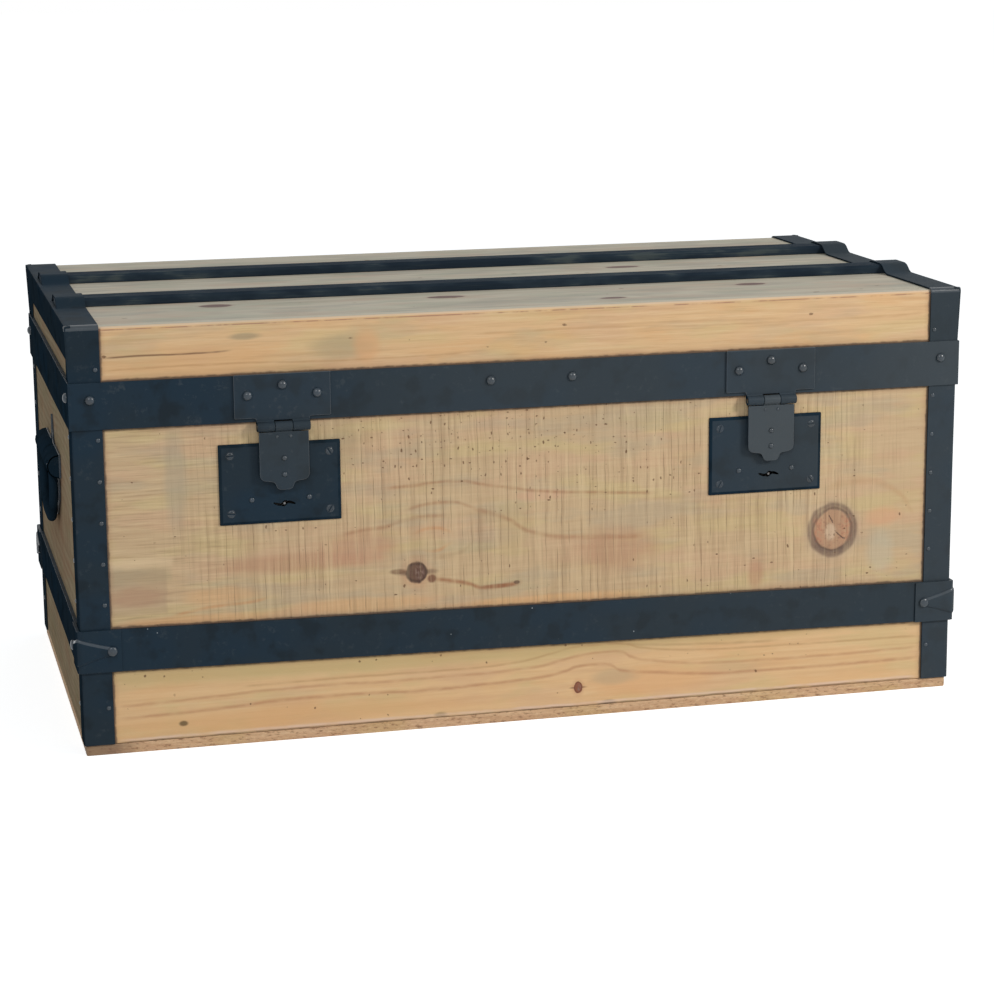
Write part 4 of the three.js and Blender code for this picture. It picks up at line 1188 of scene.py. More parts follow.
def corner_angle(end, face, material, name):
    shells = Shells()

    def place(u, v, z):
        return Vector((end * (HALF_WIDTH - u), face * (HALF_DEPTH - v), z))

    section = angle_section(ANGLE_LEG, ANGLE_LEG, STEEL)
    shells.extrude(section, BOTTOM_TOP + SEAT, BOARD_HIGH.z, place, slight_wave(end + face * 3, *ANGLE_WAVE))
    highest = LID_BAND_LOW - NAIL_DROP
    lowest = LOWER_BAND_LEFT + LOWER_BAND_WIDTH / 2 + NAIL_RISE
    levels = [highest - (highest - lowest) * row / (NAIL_ROWS - 1) for row in range(NAIL_ROWS)]
    levels.append(LOW_NAIL_SHARE * (LOWER_BAND_RIGHT - LOWER_BAND_WIDTH / 2))
    for level in levels:
        shells.dome(place(ANGLE_LEG - NAIL_INSET, 0, level), (0, face, 0), NAIL)
        shells.dome(place(0, ANGLE_LEG - NAIL_INSET, level), (end, 0, 0), NAIL)
    make(f"corner_angle_{name}", "sheet", shells, "chest", material)


# Bands

BAND_RIVET_RISE = 6
BAND_RIVET_INSET = 20
BAND_RIVET_SPACING = 81
LIP = 1.3
LIP_INSET = 0.15
BAND_WAVE = 0.2


def band(place, base, half_length, middle, width, seed):
    """A flat strap over the corner angles, with lips between them that close the room behind it.
    middle gives the height of its centre line from the place along it."""
    def at(u, v, along):
        return place(along, middle(along) + u, base + BAND_BACK + v)

    shells = Shells()
    wave = slight_wave(seed, BAND_WAVE)
    section = rounded([(-width / 2, 0), (width / 2, 0), (width / 2, STEEL), (-width / 2, STEEL)], EDGE)
    shells.extrude(section, -half_length, half_length, at, wave)
    high = width / 2 - LIP_INSET
    reach = half_length - ANGLE_LEG - 2 * STEEL
    for side in (-1, 1):
        levels = sorted((side * high, side * (high - LIP)))
        lip = rectangle((levels[0], LIP_INSET - STEEL - 2 * SEAT), (levels[1], STEEL / 2), 0)
        shells.extrude(lip, -reach, reach, at, wave, edge=0)
    return shells


def long_band(side, middle, width, seed):
    return band(on_face(side), HALF_DEPTH, HALF_WIDTH + BAND_FRONT, middle, width, seed)


def side_band(side, level, width, seed):
    return band(on_end(side), HALF_WIDTH, HALF_DEPTH, lambda y: level, width, seed)


def lid_bands(material):
    width = LID_BAND_HIGH - LID_BAND_LOW
    middle = (LID_BAND_HIGH + LID_BAND_LOW) / 2
    rivet_level = middle + BAND_RIVET_RISE
    corner = HALF_WIDTH + BAND_FRONT - BAND_RIVET_INSET
    out = HALF_DEPTH + BAND_FRONT

    front = long_band(-1, lambda x: middle, width, 3)
    spots = (-corner, -BAND_RIVET_SPACING / 2, BAND_RIVET_SPACING / 2, corner)
    front.heads(on_front, [(x, rivet_level) for x in spots], out, RIVET)
    make("lid_band_front", "sheet", front, "lid", material)

    upper = LID_BAND_HIGH - LID_BOTTOM
    rear = long_band(1, lambda x: LID_BOTTOM + upper / 2, upper, 4)
    rear.heads(on_rear, [(-corner, rivet_level), (corner, rivet_level)], out, RIVET)
    make("lid_band_rear", "sheet", rear, "lid", material)

    lower = BOARD_HIGH.z - LID_BAND_LOW
    rear_body = long_band(1, lambda x: LID_BAND_LOW + lower / 2, lower, 5)
    make("body_band_rear", "sheet", rear_body, "chest", material)

    for name, side in ENDS.items():
        strap = side_band(side, middle, width, 6 + side)
        spots = [(y * (out - BAND_RIVET_INSET), rivet_level) for y in (-1, 1)]
        strap.heads(on_end(side), spots, HALF_WIDTH + BAND_FRONT, RIVET)
        make(f"lid_band_{name}", "sheet", strap, "lid", material)


def lower_band_level(x):
    share = (x / HALF_WIDTH + 1) / 2
    return LOWER_BAND_LEFT + (LOWER_BAND_RIGHT - LOWER_BAND_LEFT) * share


def lower_bands(material):
    for name, side in FACES.items():
        strap = long_band(side, lower_band_level, LOWER_BAND_WIDTH, 10 + side)
        make(f"lower_band_{name}", "sheet", strap, "chest", material)
    for name, side in ENDS.items():
        strap = side_band(side, lower_band_level(side * HALF_WIDTH), LOWER_BAND_WIDTH, 14 + side)
        make(f"lower_band_{name}", "sheet", strap, "chest", material)


# Clamps over the lower band's corners

CLAMP_SHEET = 1.2
CLAMP_MARGIN = 9
CLAMP_BEND = 4
NOSE_LENGTH = 33
NOSE_RISE = 1.5
NOSE_ROOT = 29
NOSE_TIP = 8
NOSE_EDGE = 1.6
NOSE_BEND = 5
NOSE_STEPS = 8
NOSE_THIN = 0.05
NOSE_RIDGE = (5, 6, 7)
CLAMP_RIVET = (RIVET[0], RIVET[1] / 2 + 0.3)


def nose_loop(width, height, point, outward, level):
    """The section of the nose, across a leg of the clamp."""
    half = width / 2
    edge = min(NOSE_EDGE, half * 0.45)
    flat = [(-half, -SINK), (-half, 0), (-half + edge * 0.35, height * 0.55), (-half + edge, height * 0.93)]
    flat.append((-half + edge * 1.8, height))
    flat += [(-u, v) for u, v in flat[::-1]]
    return [point + outward * v + Vector((0, 0, level + u)) for u, v in flat]


def clamp_nose(shells, place, level):
    """One pressed ridge round the corner that narrows to a rivet on each leg."""
    tip = NOSE_LENGTH + NOSE_TIP * 0.2
    path = rounded([(tip, 0), (0, 0), (0, tip)], [0, NOSE_BEND, 0], steps=6, closed=False)
    first = [path[0].lerp(path[1], step / NOSE_STEPS) for step in range(NOSE_STEPS)]
    last = [path[-2].lerp(path[-1], step / NOSE_STEPS) for step in range(1, NOSE_STEPS + 1)]
    loops = []
    for point, along, _ in along_path(first + path[1:-1] + last):
        outward = place(point.x - along.y, point.y + along.x) - place(point.x, point.y)
        if outward.dot(place(-1, -1) - place(0, 0)) < 0:
            outward = -outward
        far = max(point.x, point.y)
        share = min(1, max(0, far / NOSE_LENGTH))
        height = NOSE_RISE * min(1, max(NOSE_THIN, (tip - far) / (tip - NOSE_LENGTH) + NOSE_THIN))
        width = NOSE_ROOT + (NOSE_TIP - NOSE_ROOT) * share ** 0.8
        loops.append(nose_loop(width, height, place(point.x, point.y), outward.normalized(), level))
    shells.loft(loops, is_rubbed=lambda row, column: column in NOSE_RIDGE)


def corner_clamp(end, face, material, name):
    shells = Shells()
    reach = BAND_FRONT + SEAT + CLAMP_SHEET
    leg = NOSE_LENGTH + CLAMP_MARGIN
    deep = reach - LIP_INSET
    half = LOWER_BAND_WIDTH / 2
    level = lower_band_level(end * HALF_WIDTH)

    def place(u, v, z=0.0):
        return Vector((end * (HALF_WIDTH + reach - u), face * (HALF_DEPTH + reach - v), z))

    section = angle_section(leg, leg, deep, CLAMP_BEND, CLAMP_BEND - deep)
    shells.extrude(section, level - half, level + half, place)
    clamp_nose(shells, place, level)
    shells.dome(place(NOSE_LENGTH, -NOSE_RISE, level), (0, face, 0), CLAMP_RIVET)
    shells.dome(place(-NOSE_RISE, NOSE_LENGTH, level), (end, 0, 0), CLAMP_RIVET)
    make(f"corner_clamp_{name}", "sheet", shells, "chest", material)


# End strips of the lid

STRIP_FLARE = 3
STRIP_DROP = 31
STRIP_BEND = 4
STRIP_BEND_STEPS = 5
STRIP_RAMP = 12
HUMP_BEND = 6
STRIP_WAVE = (0.12, 70)
STRIP_TUCK = 0.04
STRIP_LAP = 1.5
WRAP_LIFT = 0.03
SLAT_LOW, SLAT_HIGH = span("lid_slat_front")
SLAT_MIDDLE = -(SLAT_LOW.y + SLAT_HIGH.y) / 2
SLAT_HALF = (SLAT_HIGH.y - SLAT_LOW.y) / 2
STRIP_LEVEL = LID_TOP + SEAT + STEEL / 2


def strip_path():
    """The middle of the end strip's sheet as (y, z), from the front over the slats to the rear."""
    face = HALF_DEPTH - STEEL / 2
    top = SLAT_HIGH.z + SEAT + STEEL / 2 - (SLAT_LOW.z - LID_TOP)
    points = [(-face, LID_BOTTOM), (-face, STRIP_LEVEL)]
    for side in (-1, 1):
        middle = side * SLAT_MIDDLE
        half = SLAT_HALF + STEEL / 2
        ramp = STRIP_RAMP - STEEL / 2
        points += [(middle - half - ramp, STRIP_LEVEL), (middle - half, top)]
        points += [(middle + half, top), (middle + half + ramp, STRIP_LEVEL)]
    points += [(face, STRIP_LEVEL), (face, LID_BOTTOM)]
    bend = STRIP_BEND
    radii = [0, bend] + [HUMP_BEND] * 8 + [bend, 0]
    return rounded(points, radii, STRIP_BEND_STEPS, closed=False)


def strip_far(level):
    """How far out the strip's outer edge lies: it flares towards the top of the lid."""
    share = min(1, max(0, (level - LID_BAND_HIGH) / (LID_TOP - LID_BAND_HIGH)))
    return HALF_WIDTH + STRIP_FLARE * share


def strip_sheet(shells, side):
    """The part that runs over the lid and down its front and rear."""
    near, half = HALF_WIDTH - ANGLE_LEG, STEEL / 2
    path = strip_path()
    loops = []
    for point, _, normal in along_path(path):
        is_on_top = point.y >= STRIP_LEVEL - 0.01
        far = strip_far(point.y) - (STRIP_BEND if is_on_top else 0)
        section = rounded([(near, -half), (far, -half), (far, half), (near, half)], EDGE, 2)
        loops.append([Vector((side * x, *(point + normal * height))) for x, height in section])
    bends = (*range(1, STRIP_BEND_STEPS + 1), *range(len(path) - 2 - STRIP_BEND_STEPS, len(path) - 2))
    shells.loft(loops, is_rubbed=lambda row, column: row in bends)


def end_strip(side, material, name):
    shells = Shells()
    strip_sheet(shells, side)

    # The side leg leans in from the flared edge to the end board
    foot = LID_TOP - STRIP_DROP
    level = STRIP_LEVEL - STRIP_TUCK
    far = strip_far(LID_TOP) - STEEL / 2
    bent = [(far - STRIP_BEND - STRIP_LAP, level), (far, level), (strip_far(foot) - STEEL / 2, foot)]
    section = sheet_section(rounded(bent, [0, STRIP_BEND - STEEL / 2, 0], steps=6, closed=False), STEEL)
    wave = slight_wave(side, *STRIP_WAVE)
    shells.extrude(section, -HALF_DEPTH, HALF_DEPTH, lambda u, v, y: Vector((side * u, y, v)), wave)

    # Below it each corner wraps round on to the end board
    outline = angle_section(ANGLE_LEG / 3, ANGLE_LEG, STEEL)
    nail = side * (HALF_WIDTH - ANGLE_LEG + NAIL_INSET)
    for face in (-1, 1):
        corner = Vector((side * HALF_WIDTH, face * HALF_DEPTH))

        def wrap(u, v, z, corner=corner, face=face):
            return Vector((corner.x - side * (u - WRAP_LIFT), corner.y - face * (v - WRAP_LIFT), z))

        shells.extrude(outline, LID_BOTTOM, foot + STEEL, wrap)
        shells.heads(on_face(face), [(nail, LID_BAND_HIGH + NAIL_RISE / 2)], HALF_DEPTH, NAIL)
    make(f"lid_strip_{name}", "sheet", shells, "lid", material)


# Hasps and their hinges

KNUCKLES = 3
KNUCKLE_GAP = 0.4
BORE_CLEARANCE = 0.4
NECK_EDGE = 0.15
HINGE_PLATE = 92
HINGE_SHEET = 1.8
HINGE_CORNERS = [1.3, 1.3, 2.2, 0.3]
HINGE_LIFT = 0.9
HINGE_INSET = 3.6
HINGE_RIVET_SPACING = 66
HINGE_RIVET_RISE = 22
HINGE_RIVET_STEP = 9
KNUCKLE_WIDTH = 51
KNUCKLE_RADIUS = 4.8
HASP_SHEET = 2
HASP_WIDTH = 47.5
HASP_DROP = 51.5
HASP_TIP_DROP = 61
HASP_TIP_WIDTH = 17
HASP_CORNERS = [0.8, 6, 2.6, 3.2]
HASP_EDGE = 0.55
TAB_BACK = 0.2
TAB_FRONT = 0.15
TAB_DROP = 3
TAB_RISE = 1.2
STAPLE_LEVELS = (30.5, 46)
STAPLE_RADIUS = 1.8
STAPLE_BEND = 3
STAPLE_REACH = 18
SMALL_RIVET = (2.6, 1.8)
TINY_RIVET = (1.5, 0.9)
TINY_RIVET_SPACING = 13
TINY_RIVET_DROP = 9.5


def hinge_line(pin):
    """The middle of a hinge's pin, as (x, y, z), and its radius."""
    low, high = span(pin)
    return [(start + end) / 2 for start, end in zip(low, high)], (high.z - low.z) / 2


def knuckles(shells, which, pin, width, radius, neck, face):
    """Some of a hinge's knuckles, each with the sheet that leads to it. neck is (height, level) points."""
    (x, *axis), pin_radius = hinge_line(pin)
    share = width / KNUCKLES
    for index in which:
        start = x - width / 2 + index * share + KNUCKLE_GAP / 2
        end = start + share - KNUCKLE_GAP
        shells.extrude(neck, start, end, lambda height, level, x: face(x, level, height), edge=NECK_EDGE)
        shells.barrel(axis, start, end, radius, pin_radius + BORE_CLEARANCE)


def rolled_neck(back, front, start, axis_out, axis_level, radius, sign):
    """The sheet between a plate and its barrel: a hollow curve that ends inside the barrel's wall."""
    inside = radius * 0.75
    points = [
        (back + 0.15, start + sign * 3),
        (front - 0.12, start + sign * 3),
        (front - 0.12, start),
        (front + (axis_out - front) * 0.3, axis_level + sign * radius * 1.3),
        (axis_out, axis_level + sign * radius * 0.99),
        (axis_out, axis_level + sign * inside),
        (axis_out - inside * 0.62, axis_level + sign * inside * 0.8),
        (back + 0.35, axis_level + sign * radius * 0.3),
        (back, axis_level + sign * radius * 0.5),
    ]
    return tuned(points)


def hasp_hinge(name, material):
    shells = Shells()
    pin = f"hasp_pin_{name}"
    (x, axis_y, axis_z), _ = hinge_line(pin)
    back = HALF_DEPTH + BAND_FRONT + SEAT
    front = back + HINGE_SHEET
    low, high = LID_BAND_LOW + HINGE_INSET, LID_BAND_HIGH + HINGE_LIFT
    half, neck_half = HINGE_PLATE / 2, KNUCKLE_WIDTH / 2
    bridge_low = axis_z + KNUCKLE_RADIUS + KNUCKLE_GAP
    corners = [(-half, high), (-half, low), (-neck_half, low), (-neck_half, bridge_low)]
    rims = rounded_rims(back, front, PLATE_EDGE, PLATE_EDGE_STEPS)
    shells.plate(mirrored(corners, HINGE_CORNERS, x), rims, on_front)
    neck = rolled_neck(back, front, bridge_low + 1, -axis_y, axis_z, KNUCKLE_RADIUS, 1)
    knuckles(shells, (0, 2), pin, KNUCKLE_WIDTH, KNUCKLE_RADIUS, neck, on_front)
    level = low + HINGE_RIVET_RISE
    side = HINGE_RIVET_SPACING / 2
    spots = [(x - side, level), (x, level + HINGE_RIVET_STEP), (x + side, level)]
    shells.heads(on_front, spots, front, RIVET)
    make(f"hasp_hinge_plate_{name}", "leaf", shells, "lid", material)


def hasp_outline(x, axis_z):
    """Straight sides, rounded shoulders, and an ogee that ends in a small nub."""
    half = HASP_WIDTH / 2
    tip = HASP_TIP_WIDTH / 2
    top = axis_z - KNUCKLE_RADIUS - KNUCKLE_GAP
    shoulder = axis_z - HASP_DROP
    end = axis_z - HASP_TIP_DROP
    right = [(half, top), (half, shoulder), (tip * 1.15, shoulder - HASP_SHEET), (tip * 0.8, end)]
    return mirrored(right, HASP_CORNERS, x)


def hasp(name, material):
    shells = Shells()
    pin = f"hasp_pin_{name}"
    (x, axis_y, axis_z), _ = hinge_line(pin)
    back, front = -axis_y - HASP_SHEET / 2, -axis_y + HASP_SHEET / 2
    shells.plate(hasp_outline(x, axis_z), rounded_rims(back, front, HASP_EDGE, PLATE_EDGE_STEPS), on_front)
    low = axis_z - KNUCKLE_RADIUS
    tab = rectangle((back + TAB_BACK, low - TAB_DROP), (front - TAB_FRONT, low + TAB_RISE), 0)
    knuckles(shells, (1,), pin, KNUCKLE_WIDTH, KNUCKLE_RADIUS, tab, on_front)
    shells.heads(on_front, [(x, axis_z - drop) for drop in STAPLE_LEVELS], front, SMALL_RIVET)
    spots = [(x + side * TINY_RIVET_SPACING / 2, axis_z - TINY_RIVET_DROP) for side in (-1, 1)]
    shells.heads(on_front, spots, front, TINY_RIVET)
    inner = axis_y + STAPLE_REACH - STAPLE_RADIUS
    high, low = (axis_z - drop for drop in STAPLE_LEVELS)
    staple = [(x, axis_y, high), (x, inner, high), (x, inner, low), (x, axis_y, low)]
    shells.tube(rounded(staple, [0, STAPLE_BEND, STAPLE_BEND, 0], steps=5, closed=False), STAPLE_RADIUS)
    make(f"hasp_{name}", "plate", shells, f"hasp_{name}", material)


# Lock plates

PLATE_SHEET = 2.2
PLATE_BEVEL = 2.2
PLATE_BEVEL_DEPTH = 1.2
PLATE_TURN = 14
PLATE_CORNER = 0.9
HOLE_EDGE = 0.35
SLOT_CORNER = 1.2
SCREW_INSET = 10.8
SCREW_RADIUS = 4
SCREW_RISE = 0.7
SCREW_SLOT = 1.1
SCREW_INNER = 0.9
SCREW_RIM = 0.3
SCREW_STEPS = 12
SCREW_TURN = 0.5
SCREW_TURN_STEP = 1.1
SCREW_DOME = [(0, 0), (0.15, 0.7), (0.8, 1.15), (1.3, 1.3)]
PLATE_RIVET = (2.6, 1.6)
PLATE_RIVET_SPACING = 55
PLATE_RIVET_RISE = 5
KEYHOLE_DROP = 75.5
KEYHOLE_HALF = 11
KEYHOLE_ROUND = 3.2
KEYHOLE_STEPS = 28
KEYHOLE_WAVES = 1.3
KEYHOLE_TAPER = 2.2
KEYHOLE_TIP = 0.4
KEYHOLE_SWELL = 1.3
SLOT_WIDTH = 6
SLOT_ABOVE = 3
SLOT_BELOW = 7.8


def keyhole(x, level):
    """A wavy slot that swells to a round in the middle."""
    upper, lower = [], []
    for step in range(KEYHOLE_STEPS + 1):
        u = KEYHOLE_HALF * (2 * step / KEYHOLE_STEPS - 1)
        share = abs(u) / KEYHOLE_HALF
        wave = math.sin(u / KEYHOLE_HALF * math.pi * KEYHOLE_WAVES)
        taper = math.sin(min(1, (1 - share) * KEYHOLE_TAPER) * math.pi / 2)
        half = KEYHOLE_TIP + KEYHOLE_SWELL * math.sqrt(taper)
        if abs(u) < KEYHOLE_ROUND:
            half = max(half, math.sqrt(KEYHOLE_ROUND ** 2 - u ** 2))
        upper.append(Vector((x + u, level + wave + half)))
        lower.append(Vector((x + u, level + wave - half)))
    return turned_left(upper + lower[::-1])


def slotted_screw(shells, place, turn, front):
    """A countersunk head: a low rim, and two halves with the slot between them."""
    centre = Vector(place)
    rim = rounded_rims(front - SINK, front + SCREW_RISE * SCREW_RIM, SMALL_EDGE)
    shells.plate(circle(centre, SCREW_RADIUS), rim, on_front)
    spin = Matrix.Rotation(turn, 2)
    inner = SCREW_RADIUS * SCREW_INNER
    rims = [(distance, front + SCREW_RISE * rise) for distance, rise in SCREW_DOME]
    start = math.asin(SCREW_SLOT / 2 / inner)
    turns = [start + (math.pi - 2 * start) * step / SCREW_STEPS for step in range(SCREW_STEPS + 1)]
    for side in (1, -1):
        half = [Vector((inner * math.cos(angle), side * inner * math.sin(angle))) for angle in turns]
        shells.plate([centre + spin @ point for point in half], rims, on_front)


def lock_plate(name, material):
    shells = Shells()
    node = f"lock_plate_{name}"
    low, high = span(node)
    (x, _, axis_z), _ = hinge_line(f"hasp_pin_{name}")
    back = -high.y
    front = back + PLATE_SHEET

    def outline(distance):
        inner = Vector((distance, distance))
        return rectangle(low.xz + inner, high.xz - inner, max(PLATE_CORNER - distance, 0.1))

    level = axis_z - KEYHOLE_DROP
    slot_low, slot_high = axis_z - STAPLE_LEVELS[1] - SLOT_BELOW, axis_z - STAPLE_LEVELS[0] + SLOT_ABOVE
    slot = rectangle((x - SLOT_WIDTH / 2, slot_low), (x + SLOT_WIDTH / 2, slot_high), SLOT_CORNER)
    rims = [(0, back), (0, front - PLATE_BEVEL_DEPTH), (0.35, front - PLATE_BEVEL_DEPTH * 0.72)]
    rims += [(PLATE_BEVEL, front - 0.1), (PLATE_BEVEL + 0.7, front)]
    hole_rims = [(0, back), (0, front - HOLE_EDGE), (-0.1, front - 0.1), (-HOLE_EDGE, front)]
    # The plate's rims take the matt copy of the paint: a painted dark outline of shade all round.
    shells.plate(outline, rims, on_front, [slot, keyhole(x, level)], hole_rims, SHADED_MATT)
    make(node, "face", shells, "chest", material, smooth=PLATE_TURN)

    fittings = Shells()
    half_width, half_height = (high.x - low.x) / 2 - SCREW_INSET, (high.z - low.z) / 2 - SCREW_INSET
    middle = (low + high) / 2
    for index, (u, v) in enumerate(((-1, -1), (1, -1), (1, 1), (-1, 1))):
        place = (middle.x + u * half_width, middle.z + v * half_height)
        slotted_screw(fittings, place, SCREW_TURN + index * SCREW_TURN_STEP + x, front)
    spots = [(middle.x + side * PLATE_RIVET_SPACING / 2, level + PLATE_RIVET_RISE) for side in (-1, 1)]
    fittings.heads(on_front, spots, front, PLATE_RIVET)
    make(node, "screws", fittings, "chest", material)


# Hinges of the lid

REAR_SHEET = 1.8
REAR_LEAF = 64
REAR_RADIUS = 4.2
REAR_SETBACK = 1.2
REAR_MARGIN = 1
REAR_RIVET = (3, 1.8)
REAR_RIVET_SPACING = 44


def rear_leaf(name, up, material):
    shells = Shells()
    pin = f"rear_hinge_pin_{name}"
    (x, axis_y, axis_z), _ = hinge_line(pin)
    back = HALF_DEPTH + BAND_FRONT + SEAT
    front = back + REAR_SHEET
    near = axis_z + up * (REAR_RADIUS + REAR_SETBACK)
    far = LID_BAND_HIGH - REAR_MARGIN if up > 0 else LID_BAND_LOW + REAR_MARGIN
    half = REAR_LEAF / 2
    outline = rectangle((x - half, min(near, far)), (x + half, max(near, far)), 1.0)
    shells.plate(outline, rounded_rims(back, front, EDGE, PLATE_EDGE_STEPS), on_rear)
    neck = rolled_neck(back, front, near, axis_y, axis_z, REAR_RADIUS, up)
    knuckles(shells, (1,) if up > 0 else (0, 2), pin, REAR_LEAF, REAR_RADIUS, neck, on_rear)
    spots = [(x + step * REAR_RIVET_SPACING / 2, (near + far) / 2) for step in (-1, 0, 1)]
    shells.heads(on_rear, spots, front, REAR_RIVET)
    kind, body = ("lid", "lid") if up > 0 else ("body", "chest")
    make(f"rear_hinge_{kind}_leaf_{name}", "plate", shells, body, material)


# Handles

HANDLE_SHEET = 2
HANDLE_CORNERS = [0.4, 12, 4, 1.5, 1.5, 5, 8, 10]
POINT_RISE = 40
POINT_WIDTH = 52
KNEE_WIDTH = 116
FOOT_WIDTH = 50
FOOT_DROP = 60
HOOD_WIDTH = 150
HOOD_HEIGHT = 24
HOOD_WALL = 1.6
HOOD_SINK = 0.2
HOOD_STEPS = 10
HOOD_LAP = 0.5
HOOD_RIVET_INSET = 5
HOOD_RIVET = (1.8, 1.0)
HOOD_RIVET_RISE = 10.5
RING_RADIUS = 4.5
RING_CORNERS = [6, 18, 14, 14, 18, 6]
RING_WIDTH = 124
RING_STRAIGHT = 35
RING_FOOT_WIDTH = 60
RING_FOOT_DROP = 62
RING_ROOM = 0.6
RING_SIDE_GAP = 1


def handle_outline(level):
    half = HOOD_WIDTH / 2
    high, low = level + HOOD_HEIGHT / 2, level - HOOD_HEIGHT / 2
    right = [
        (0, level + POINT_RISE), (POINT_WIDTH * 0.1, high), (POINT_WIDTH / 2, high), (half, high),
        (half, low), (KNEE_WIDTH / 2, low), (KNEE_WIDTH / 2, level - RING_STRAIGHT),
        (FOOT_WIDTH / 2, level - FOOT_DROP),
    ]
    return mirrored(right, HANDLE_CORNERS, steps=6)


def hood_section(level, base, start, end, wall=HOOD_WALL):
    """Part of the hood's half-round wall, between two turns up from the level. It is solid without a wall."""
    reach = 2 * (RING_RADIUS + RING_ROOM) + HOOD_WALL
    outer, inner = [], []
    for step in range(HOOD_STEPS + 1):
        turn = start + (end - start) * step / HOOD_STEPS
        outer.append(Vector((base + reach * math.cos(turn), level + HOOD_HEIGHT / 2 * math.sin(turn))))
        if wall:
            depth, rise = reach - wall, HOOD_HEIGHT / 2 - wall
            inner.append(Vector((base + depth * math.cos(turn), level + rise * math.sin(turn))))
    return turned_left(outer + inner[::-1])


def handle_plate(name, side, material):
    shells = Shells()
    level = span(f"handle_ring_{name}")[1].z - RING_RADIUS
    back = WOOD_HALF_WIDTH + SEAT
    front = back + HANDLE_SHEET
    place = on_end(side)
    shells.plate(handle_outline(level), rounded_rims(back, front, PLATE_EDGE, PLATE_EDGE_STEPS), place)

    def at(height, z, y):
        return place(y, z, height)

    quarter = math.pi / 2
    base = front - HOOD_SINK
    half = HOOD_WIDTH / 2
    room = RING_RADIUS + RING_SIDE_GAP
    slot_turn = math.asin((RING_RADIUS + RING_ROOM) / (HOOD_HEIGHT / 2 - HOOD_WALL))
    slots = [(y - room, y + room) for y in (-RING_WIDTH / 2, RING_WIDTH / 2)]
    full = hood_section(level, base, -quarter, quarter)
    cover = hood_section(level, base, slot_turn, quarter)
    ends = hood_section(level, base, -quarter, quarter, wall=0)
    for low, high in ((-half, slots[0][0]), (slots[0][1], slots[1][0]), (slots[1][1], half)):
        shells.extrude(full, low, high, at)
    for low, high in slots:
        shells.extrude(cover, low - HOOD_LAP, high + HOOD_LAP, at)
    for low in (-half, half - HOOD_WALL):
        shells.extrude(ends, low, low + HOOD_WALL, at)
    spots = [(y * (half - HOOD_RIVET_INSET), level + HOOD_HEIGHT * 0.1) for y in (-1, 1)]
    shells.heads(place, spots, base + HOOD_RIVET_RISE, HOOD_RIVET)
    make(f"handle_plate_{name}", "hood", shells, "chest", material)


def handle_ring(name, material):
    shells = Shells()
    low, high = span(f"handle_ring_{name}")
    level = high.z - RING_RADIUS
    x = (low.x + high.x) / 2
    half, foot = RING_WIDTH / 2, RING_FOOT_WIDTH / 2
    knee, bottom = level - RING_STRAIGHT, level - RING_FOOT_DROP
    corners = [(-half, level), (-half, knee), (-foot, bottom), (foot, bottom), (half, knee), (half, level)]
    path = rounded([(x, *corner) for corner in corners], RING_CORNERS, steps=7)
    shells.tube(path, RING_RADIUS, closed=True, sides=20)
    make(f"handle_ring_{name}", "bar", shells, f"handle_ring_{name}", material)


def make_ironwork():
    heads = painted_steel("painted_steel_heads", 0.3, 0.04, specular=RUBBED_SPECULAR, dullness=0.3)
    # A matt copy of the paint without gloss, which comes out darker: painted shade on faces that look
    # sideways, the lock plates' rims and the handles.
    shaded_matt = painted_steel("painted_steel_shaded_matt", specular=0.0, dullness=0.7)

    def painted(kind, *settings, **named):
        """The materials of a piece: of its painted faces, its rubbed ones, and those that look sideways,
        which take a matt copy as painted shade.
        """
        return painted_steel("painted_steel" + kind, *settings, **named), heads, shaded_matt

    # Each painted sheen below pales the paint along X where light is reflected on the right.
    plain = painted("", fades=[(-100, 440, 0.4)])
    chipped = painted("_chipped", fades=[(-350, 440, 0.25)], chips=0.5)
    worn_and_sheened = painted("_faded", 0.3, fades=[(-350, 0, 0.35), (250, 440, 0.4)])
    dull = painted("_dull", lift=0.08, fades=[(0, 440, 0.4)], specular=DULL_SPECULAR, dullness=0.6)
    leaf = painted("_leaf", 0.3, 0.14, [(-350, 0, 0.3), (250, 440, 0.3)])
    rubbed = {"left": painted("_rubbed", 0.4, 0.3), "right": painted("_pale", 0.5, 0.85)}
    for end_name, end in ENDS.items():
        for face_name, face in FACES.items():
            corner_angle(end, face, plain, f"{face_name}_{end_name}")
            corner_clamp(end, face, plain, f"{face_name}_{end_name}")
        end_strip(end, dull, end_name)
        hasp_hinge(end_name, leaf)
        hasp(end_name, rubbed[end_name])
        lock_plate(end_name, plain)
        rear_leaf(end_name, 1, plain)
        rear_leaf(end_name, -1, plain)
        # The handles are wholly in the matt copy of the paint: painted shade.
        handle_plate(end_name, end, (shaded_matt, heads, shaded_matt))
        handle_ring(end_name, (shaded_matt, heads, shaded_matt))
    lid_bands(worn_and_sheened)
    lower_bands(chipped)


def dress_small_parts():
    slat = painted_slat("painted_slat")
    for name in FACES:
        dress(f"lid_slat_{name}", slat, SLAT_EDGE)
    steel = bare_steel("bare_steel")
    for name in ENDS:
        for node in ("hasp_pin", "rear_hinge_pin", "lock_case", "lock_bolt"):
            dress(f"{node}_{name}", steel, SMALL_EDGE)


# Camera, floor and light

LENS = 95.877
SENSOR = 36
FAR_CLIP = 100
CAMERA_PLACE = (-640.133, -2658.823, 777.664)
CAMERA_YAW = 0.244490
CAMERA_PITCH = 0.216482
CAMERA_ROLL = -0.0079968


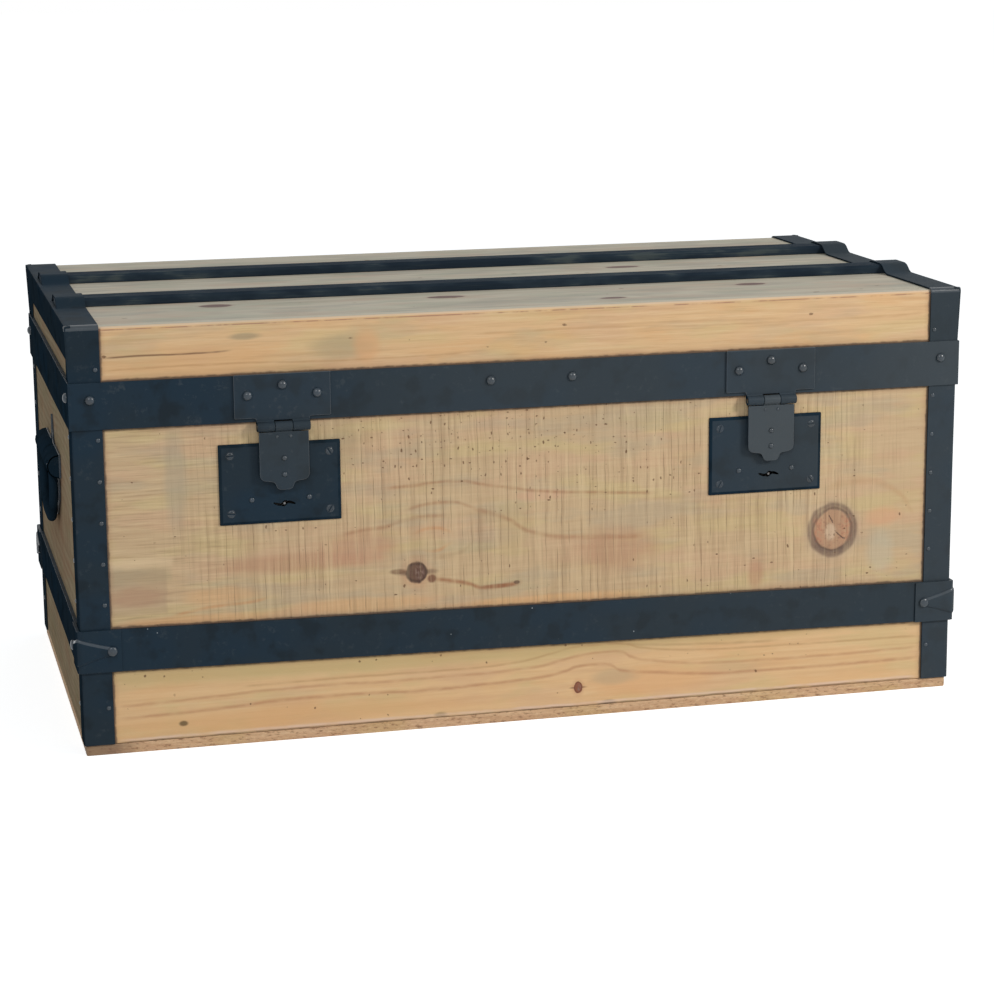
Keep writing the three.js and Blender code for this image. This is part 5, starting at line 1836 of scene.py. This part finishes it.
def add_camera():
    """The photograph's view: turned right from +Y, tipped down, and rolled a little."""
    data = bpy.data.cameras.new("camera")
    data.lens = LENS
    data.sensor_width = SENSOR
    data.sensor_fit = "HORIZONTAL"
    data.clip_end = FAR_CLIP
    camera = put_in_scene("camera", data)
    level = Vector((math.sin(CAMERA_YAW), math.cos(CAMERA_YAW), 0))
    right = Vector((math.cos(CAMERA_YAW), -math.sin(CAMERA_YAW), 0))
    ahead = level * math.cos(CAMERA_PITCH) - Vector((0, 0, math.sin(CAMERA_PITCH)))
    up = right.cross(ahead)
    rolled_right = right * math.cos(CAMERA_ROLL) + up * math.sin(CAMERA_ROLL)
    rolled_up = up * math.cos(CAMERA_ROLL) - right * math.sin(CAMERA_ROLL)
    turn = Matrix((rolled_right, rolled_up, -ahead)).transposed().to_4x4()
    camera.matrix_world = Matrix.Translation(Vector(CAMERA_PLACE) * METRES) @ turn
    bpy.context.scene.camera = camera


def seen_directly(nodes):
    """1 for rays from the camera and for reflections and refractions, which all show the white backdrop."""
    path = nodes.node("LightPath").outputs
    total = path["Is Camera Ray"]
    for name in ("Is Glossy Ray", "Is Transmission Ray"):
        total = nodes.node("Math", {0: total, 1: path[name]}, operation="MAXIMUM")
    return total


FLOOR_SIZE = 40
FLOOR_ALBEDO = 0.8
FLOOR_GLOW = 0.72


def add_floor():
    """A pale floor that glows for the camera and in reflections, so that only shadows show on it."""
    mesh = bpy.data.meshes.new("floor")
    half = FLOOR_SIZE / 2
    corners = [(-half, -half, 0), (half, -half, 0), (half, half, 0), (-half, half, 0)]
    mesh.from_pydata(corners, [], [range(4)])
    floor = put_in_scene("floor", mesh)
    material = bpy.data.materials.new("floor")
    nodes = Nodes(material)
    diffuse = nodes.node("BsdfDiffuse", {"Color": (FLOOR_ALBEDO, FLOOR_ALBEDO, FLOOR_ALBEDO, 1)})
    strength = nodes.node("Math", {0: seen_directly(nodes), 1: FLOOR_GLOW}, operation="MULTIPLY")
    glow = nodes.node("Emission", {"Strength": strength})
    nodes.node("OutputMaterial", {0: nodes.node("AddShader", {0: diffuse, 1: glow})})
    mesh.materials.append(material)


SKY_LEVEL = 0.4
SKY_COLOUR = (0.9, 0.96, 1.0, 1)


def add_world():
    """A soft pale sky that lights the chest, and shows as white."""
    world = bpy.data.worlds.new("studio")
    bpy.context.scene.world = world
    nodes = Nodes(world)
    soft = nodes.node("Background", {"Color": SKY_COLOUR, "Strength": SKY_LEVEL})
    white = nodes.node("Background", {"Color": (1, 1, 1, 1), "Strength": 1})
    both = nodes.node("MixShader", {0: seen_directly(nodes), 1: soft, 2: white})
    nodes.node("OutputWorld", {0: both})


LAMP_AIM = (0, 0, 0.2)
LAMPS = {
    "key": {"place": (2.1, -2.1, 1.7), "size": 0.6, "power": 44, "colour": (1.0, 0.97, 0.93)},
    "fill": {"place": (-1.3, -3.1, 2.3), "size": 0.6, "power": 22, "colour": (0.94, 0.97, 1.0)},
}


def add_lamps():
    for name, lamp in LAMPS.items():
        data = bpy.data.lights.new(name, "AREA")
        data.shape = "SQUARE"
        data.size = lamp["size"]
        data.energy = lamp["power"]
        data.color = lamp["colour"]
        light = put_in_scene(name, data)
        light.location = lamp["place"]
        aim = Vector(LAMP_AIM) - Vector(lamp["place"])
        light.rotation_mode = "QUATERNION"
        light.rotation_quaternion = aim.to_track_quat("-Z", "Y")


add_camera()
add_floor()
add_world()
add_lamps()
dress_wood()
dress_small_parts()
make_ironwork()
bpy.context.scene.view_settings.view_transform = "Standard"
